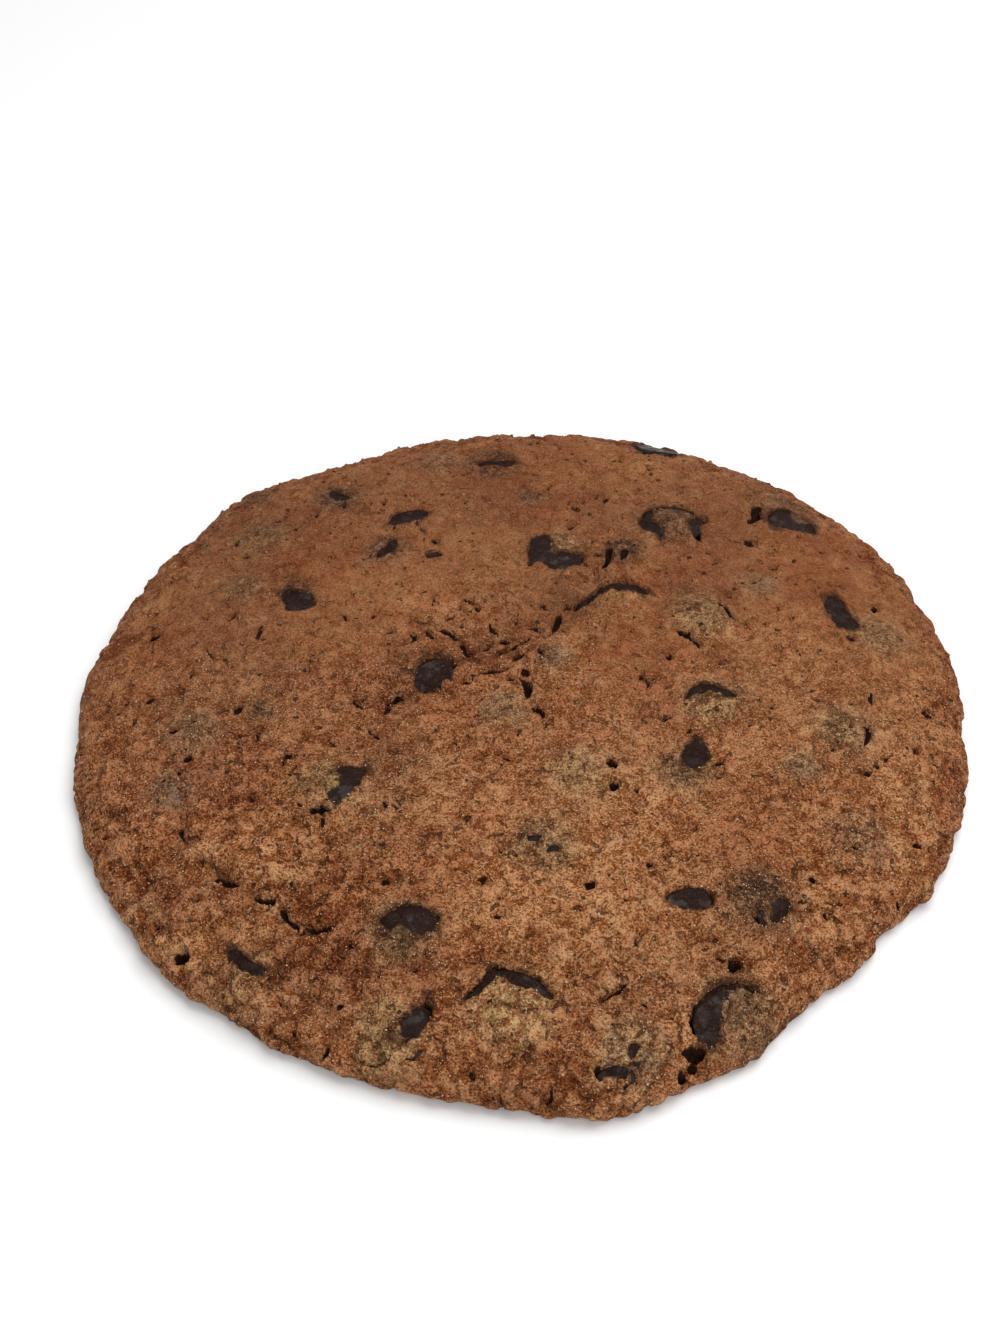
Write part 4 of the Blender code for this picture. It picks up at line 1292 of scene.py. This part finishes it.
def count_setting(name, description, default):
    """A whole number of things."""
    return bpy.props.IntProperty(name=name, description=description, default=default, min=1)


def colour_setting(name, description, default):
    """A colour of a finish."""
    return bpy.props.FloatVectorProperty(
        name=name, description=description, default=default, subtype="COLOR", size=3, min=0.0, max=1.0
    )


class CookieSettings(bpy.types.PropertyGroup):
    """Sizes, colours and lights of the cookie"""

    rim_radius: length_setting("Rim radius", "Radius at the widest part of the side", 0.0556)
    edge_height: length_setting("Edge height", "Height of the widest part of the side", 0.0016)
    shoulder_rise: length_setting("Shoulder rise", "Rise of the rounded shoulder over the edge", 0.0072)
    crown_rise: length_setting("Crown rise", "Further rise from the rim to the middle", 0.0007)
    foot_inset: length_setting("Foot inset", "How far the foot stands in from the widest part", 0.0015)
    shoulder_power: number_setting("Shoulder power", "Flatness of the top against the rounded shoulder", 4.5)
    grid_share: number_setting("Grid share", "Share of the radius that the top's grid covers", 0.965)
    shoulder_share: number_setting("Shoulder share", "Share of the side's rings above the widest part", 0.56)
    near_detail: number_setting("Near detail", "How much closer the grid's rows lie at the near edge", 0.15)
    grid_columns: count_setting("Grid columns", "Cells across the top's grid", 300)
    grid_rows: count_setting("Grid rows", "Cells along the top's grid", 246)
    side_rings: count_setting("Side rings", "Rings down the side", 18)
    underside_cells: count_setting("Underside cells", "Cells along the underside's grid", 140)
    pores: count_setting("Pores", "Number of small pores in each face", 420)
    crumbs: count_setting("Crumbs", "Number of grains baked on the crust", 2300)
    crystals: count_setting("Crystals", "Number of sugar crystals", 4200)
    golden_brown: colour_setting("Golden brown", "Lighter browned crust", (0.232, 0.090, 0.0355))
    red_brown: colour_setting("Red brown", "Redder browned crust", (0.188, 0.060, 0.022))
    tan: colour_setting("Tan", "Palest crust", (0.35, 0.156, 0.066))
    dark_brown: colour_setting("Dark brown", "Darkest crust", (0.085, 0.035, 0.018))
    chocolate: colour_setting("Chocolate", "Chocolate that shows", (0.017, 0.0072, 0.005))
    floor_colour: colour_setting("Floor", "Plain pale floor", (0.9, 0.9, 0.9))
    key_power: number_setting("Key power", "Main soft light", 2.75, subtype="POWER")
    fill_power: number_setting("Fill power", "Second light", 1.3, subtype="POWER")
    world_strength: number_setting("World", "Even light all round", 0.35)
    lens: number_setting("Lens", "Focal length in millimetres", 50.0)
    distance: length_setting("Camera distance", "From the camera to its target on the floor", 0.24)
    target_across: length_setting("Target across", "Where the camera looks, left or right", -0.0027)
    target_along: length_setting("Target along", "Where the camera looks, near or far", 0.0109)
    elevation: number_setting("Elevation", "Camera's angle above the floor", math.pi / 4.0, subtype="ANGLE")


OPERATORS = (
    COOKIE_OT_crust,
    COOKIE_OT_underside,
    COOKIE_OT_chips,
    COOKIE_OT_crumbs,
    COOKIE_OT_sugar,
    COOKIE_OT_stage,
)


class COOKIE_PT_panel(bpy.types.Panel):
    """Buttons and sizes of the cookie"""

    bl_idname = "COOKIE_PT_panel"
    bl_label = "Chocolate chip cookie"
    bl_space_type = "VIEW_3D"
    bl_region_type = "UI"
    bl_category = "Cookie"

    def draw(self, context):
        """Show a button for each operator and a field for each setting."""
        for operator in OPERATORS:
            self.layout.operator(operator.bl_idname)
        for name in CookieSettings.__annotations__:
            self.layout.prop(context.scene.cookie, name)


def register():
    """Make the settings, the operators and the panel known to Blender."""
    for item in (CookieSettings, *OPERATORS, COOKIE_PT_panel):
        bpy.utils.register_class(item)
    bpy.types.Scene.cookie = bpy.props.PointerProperty(type=CookieSettings)


def unregister():
    """Take away what register made known."""
    del bpy.types.Scene.cookie
    for item in (COOKIE_PT_panel, *reversed(OPERATORS), CookieSettings):
        bpy.utils.unregister_class(item)


def main():
    """Build the cookie and its stage."""
    register()
    bpy.ops.cookie.crust()
    bpy.ops.cookie.underside()
    bpy.ops.cookie.chips()
    bpy.ops.cookie.crumbs()
    bpy.ops.cookie.sugar()
    bpy.ops.cookie.stage()


if __name__ == "__main__":
    main()
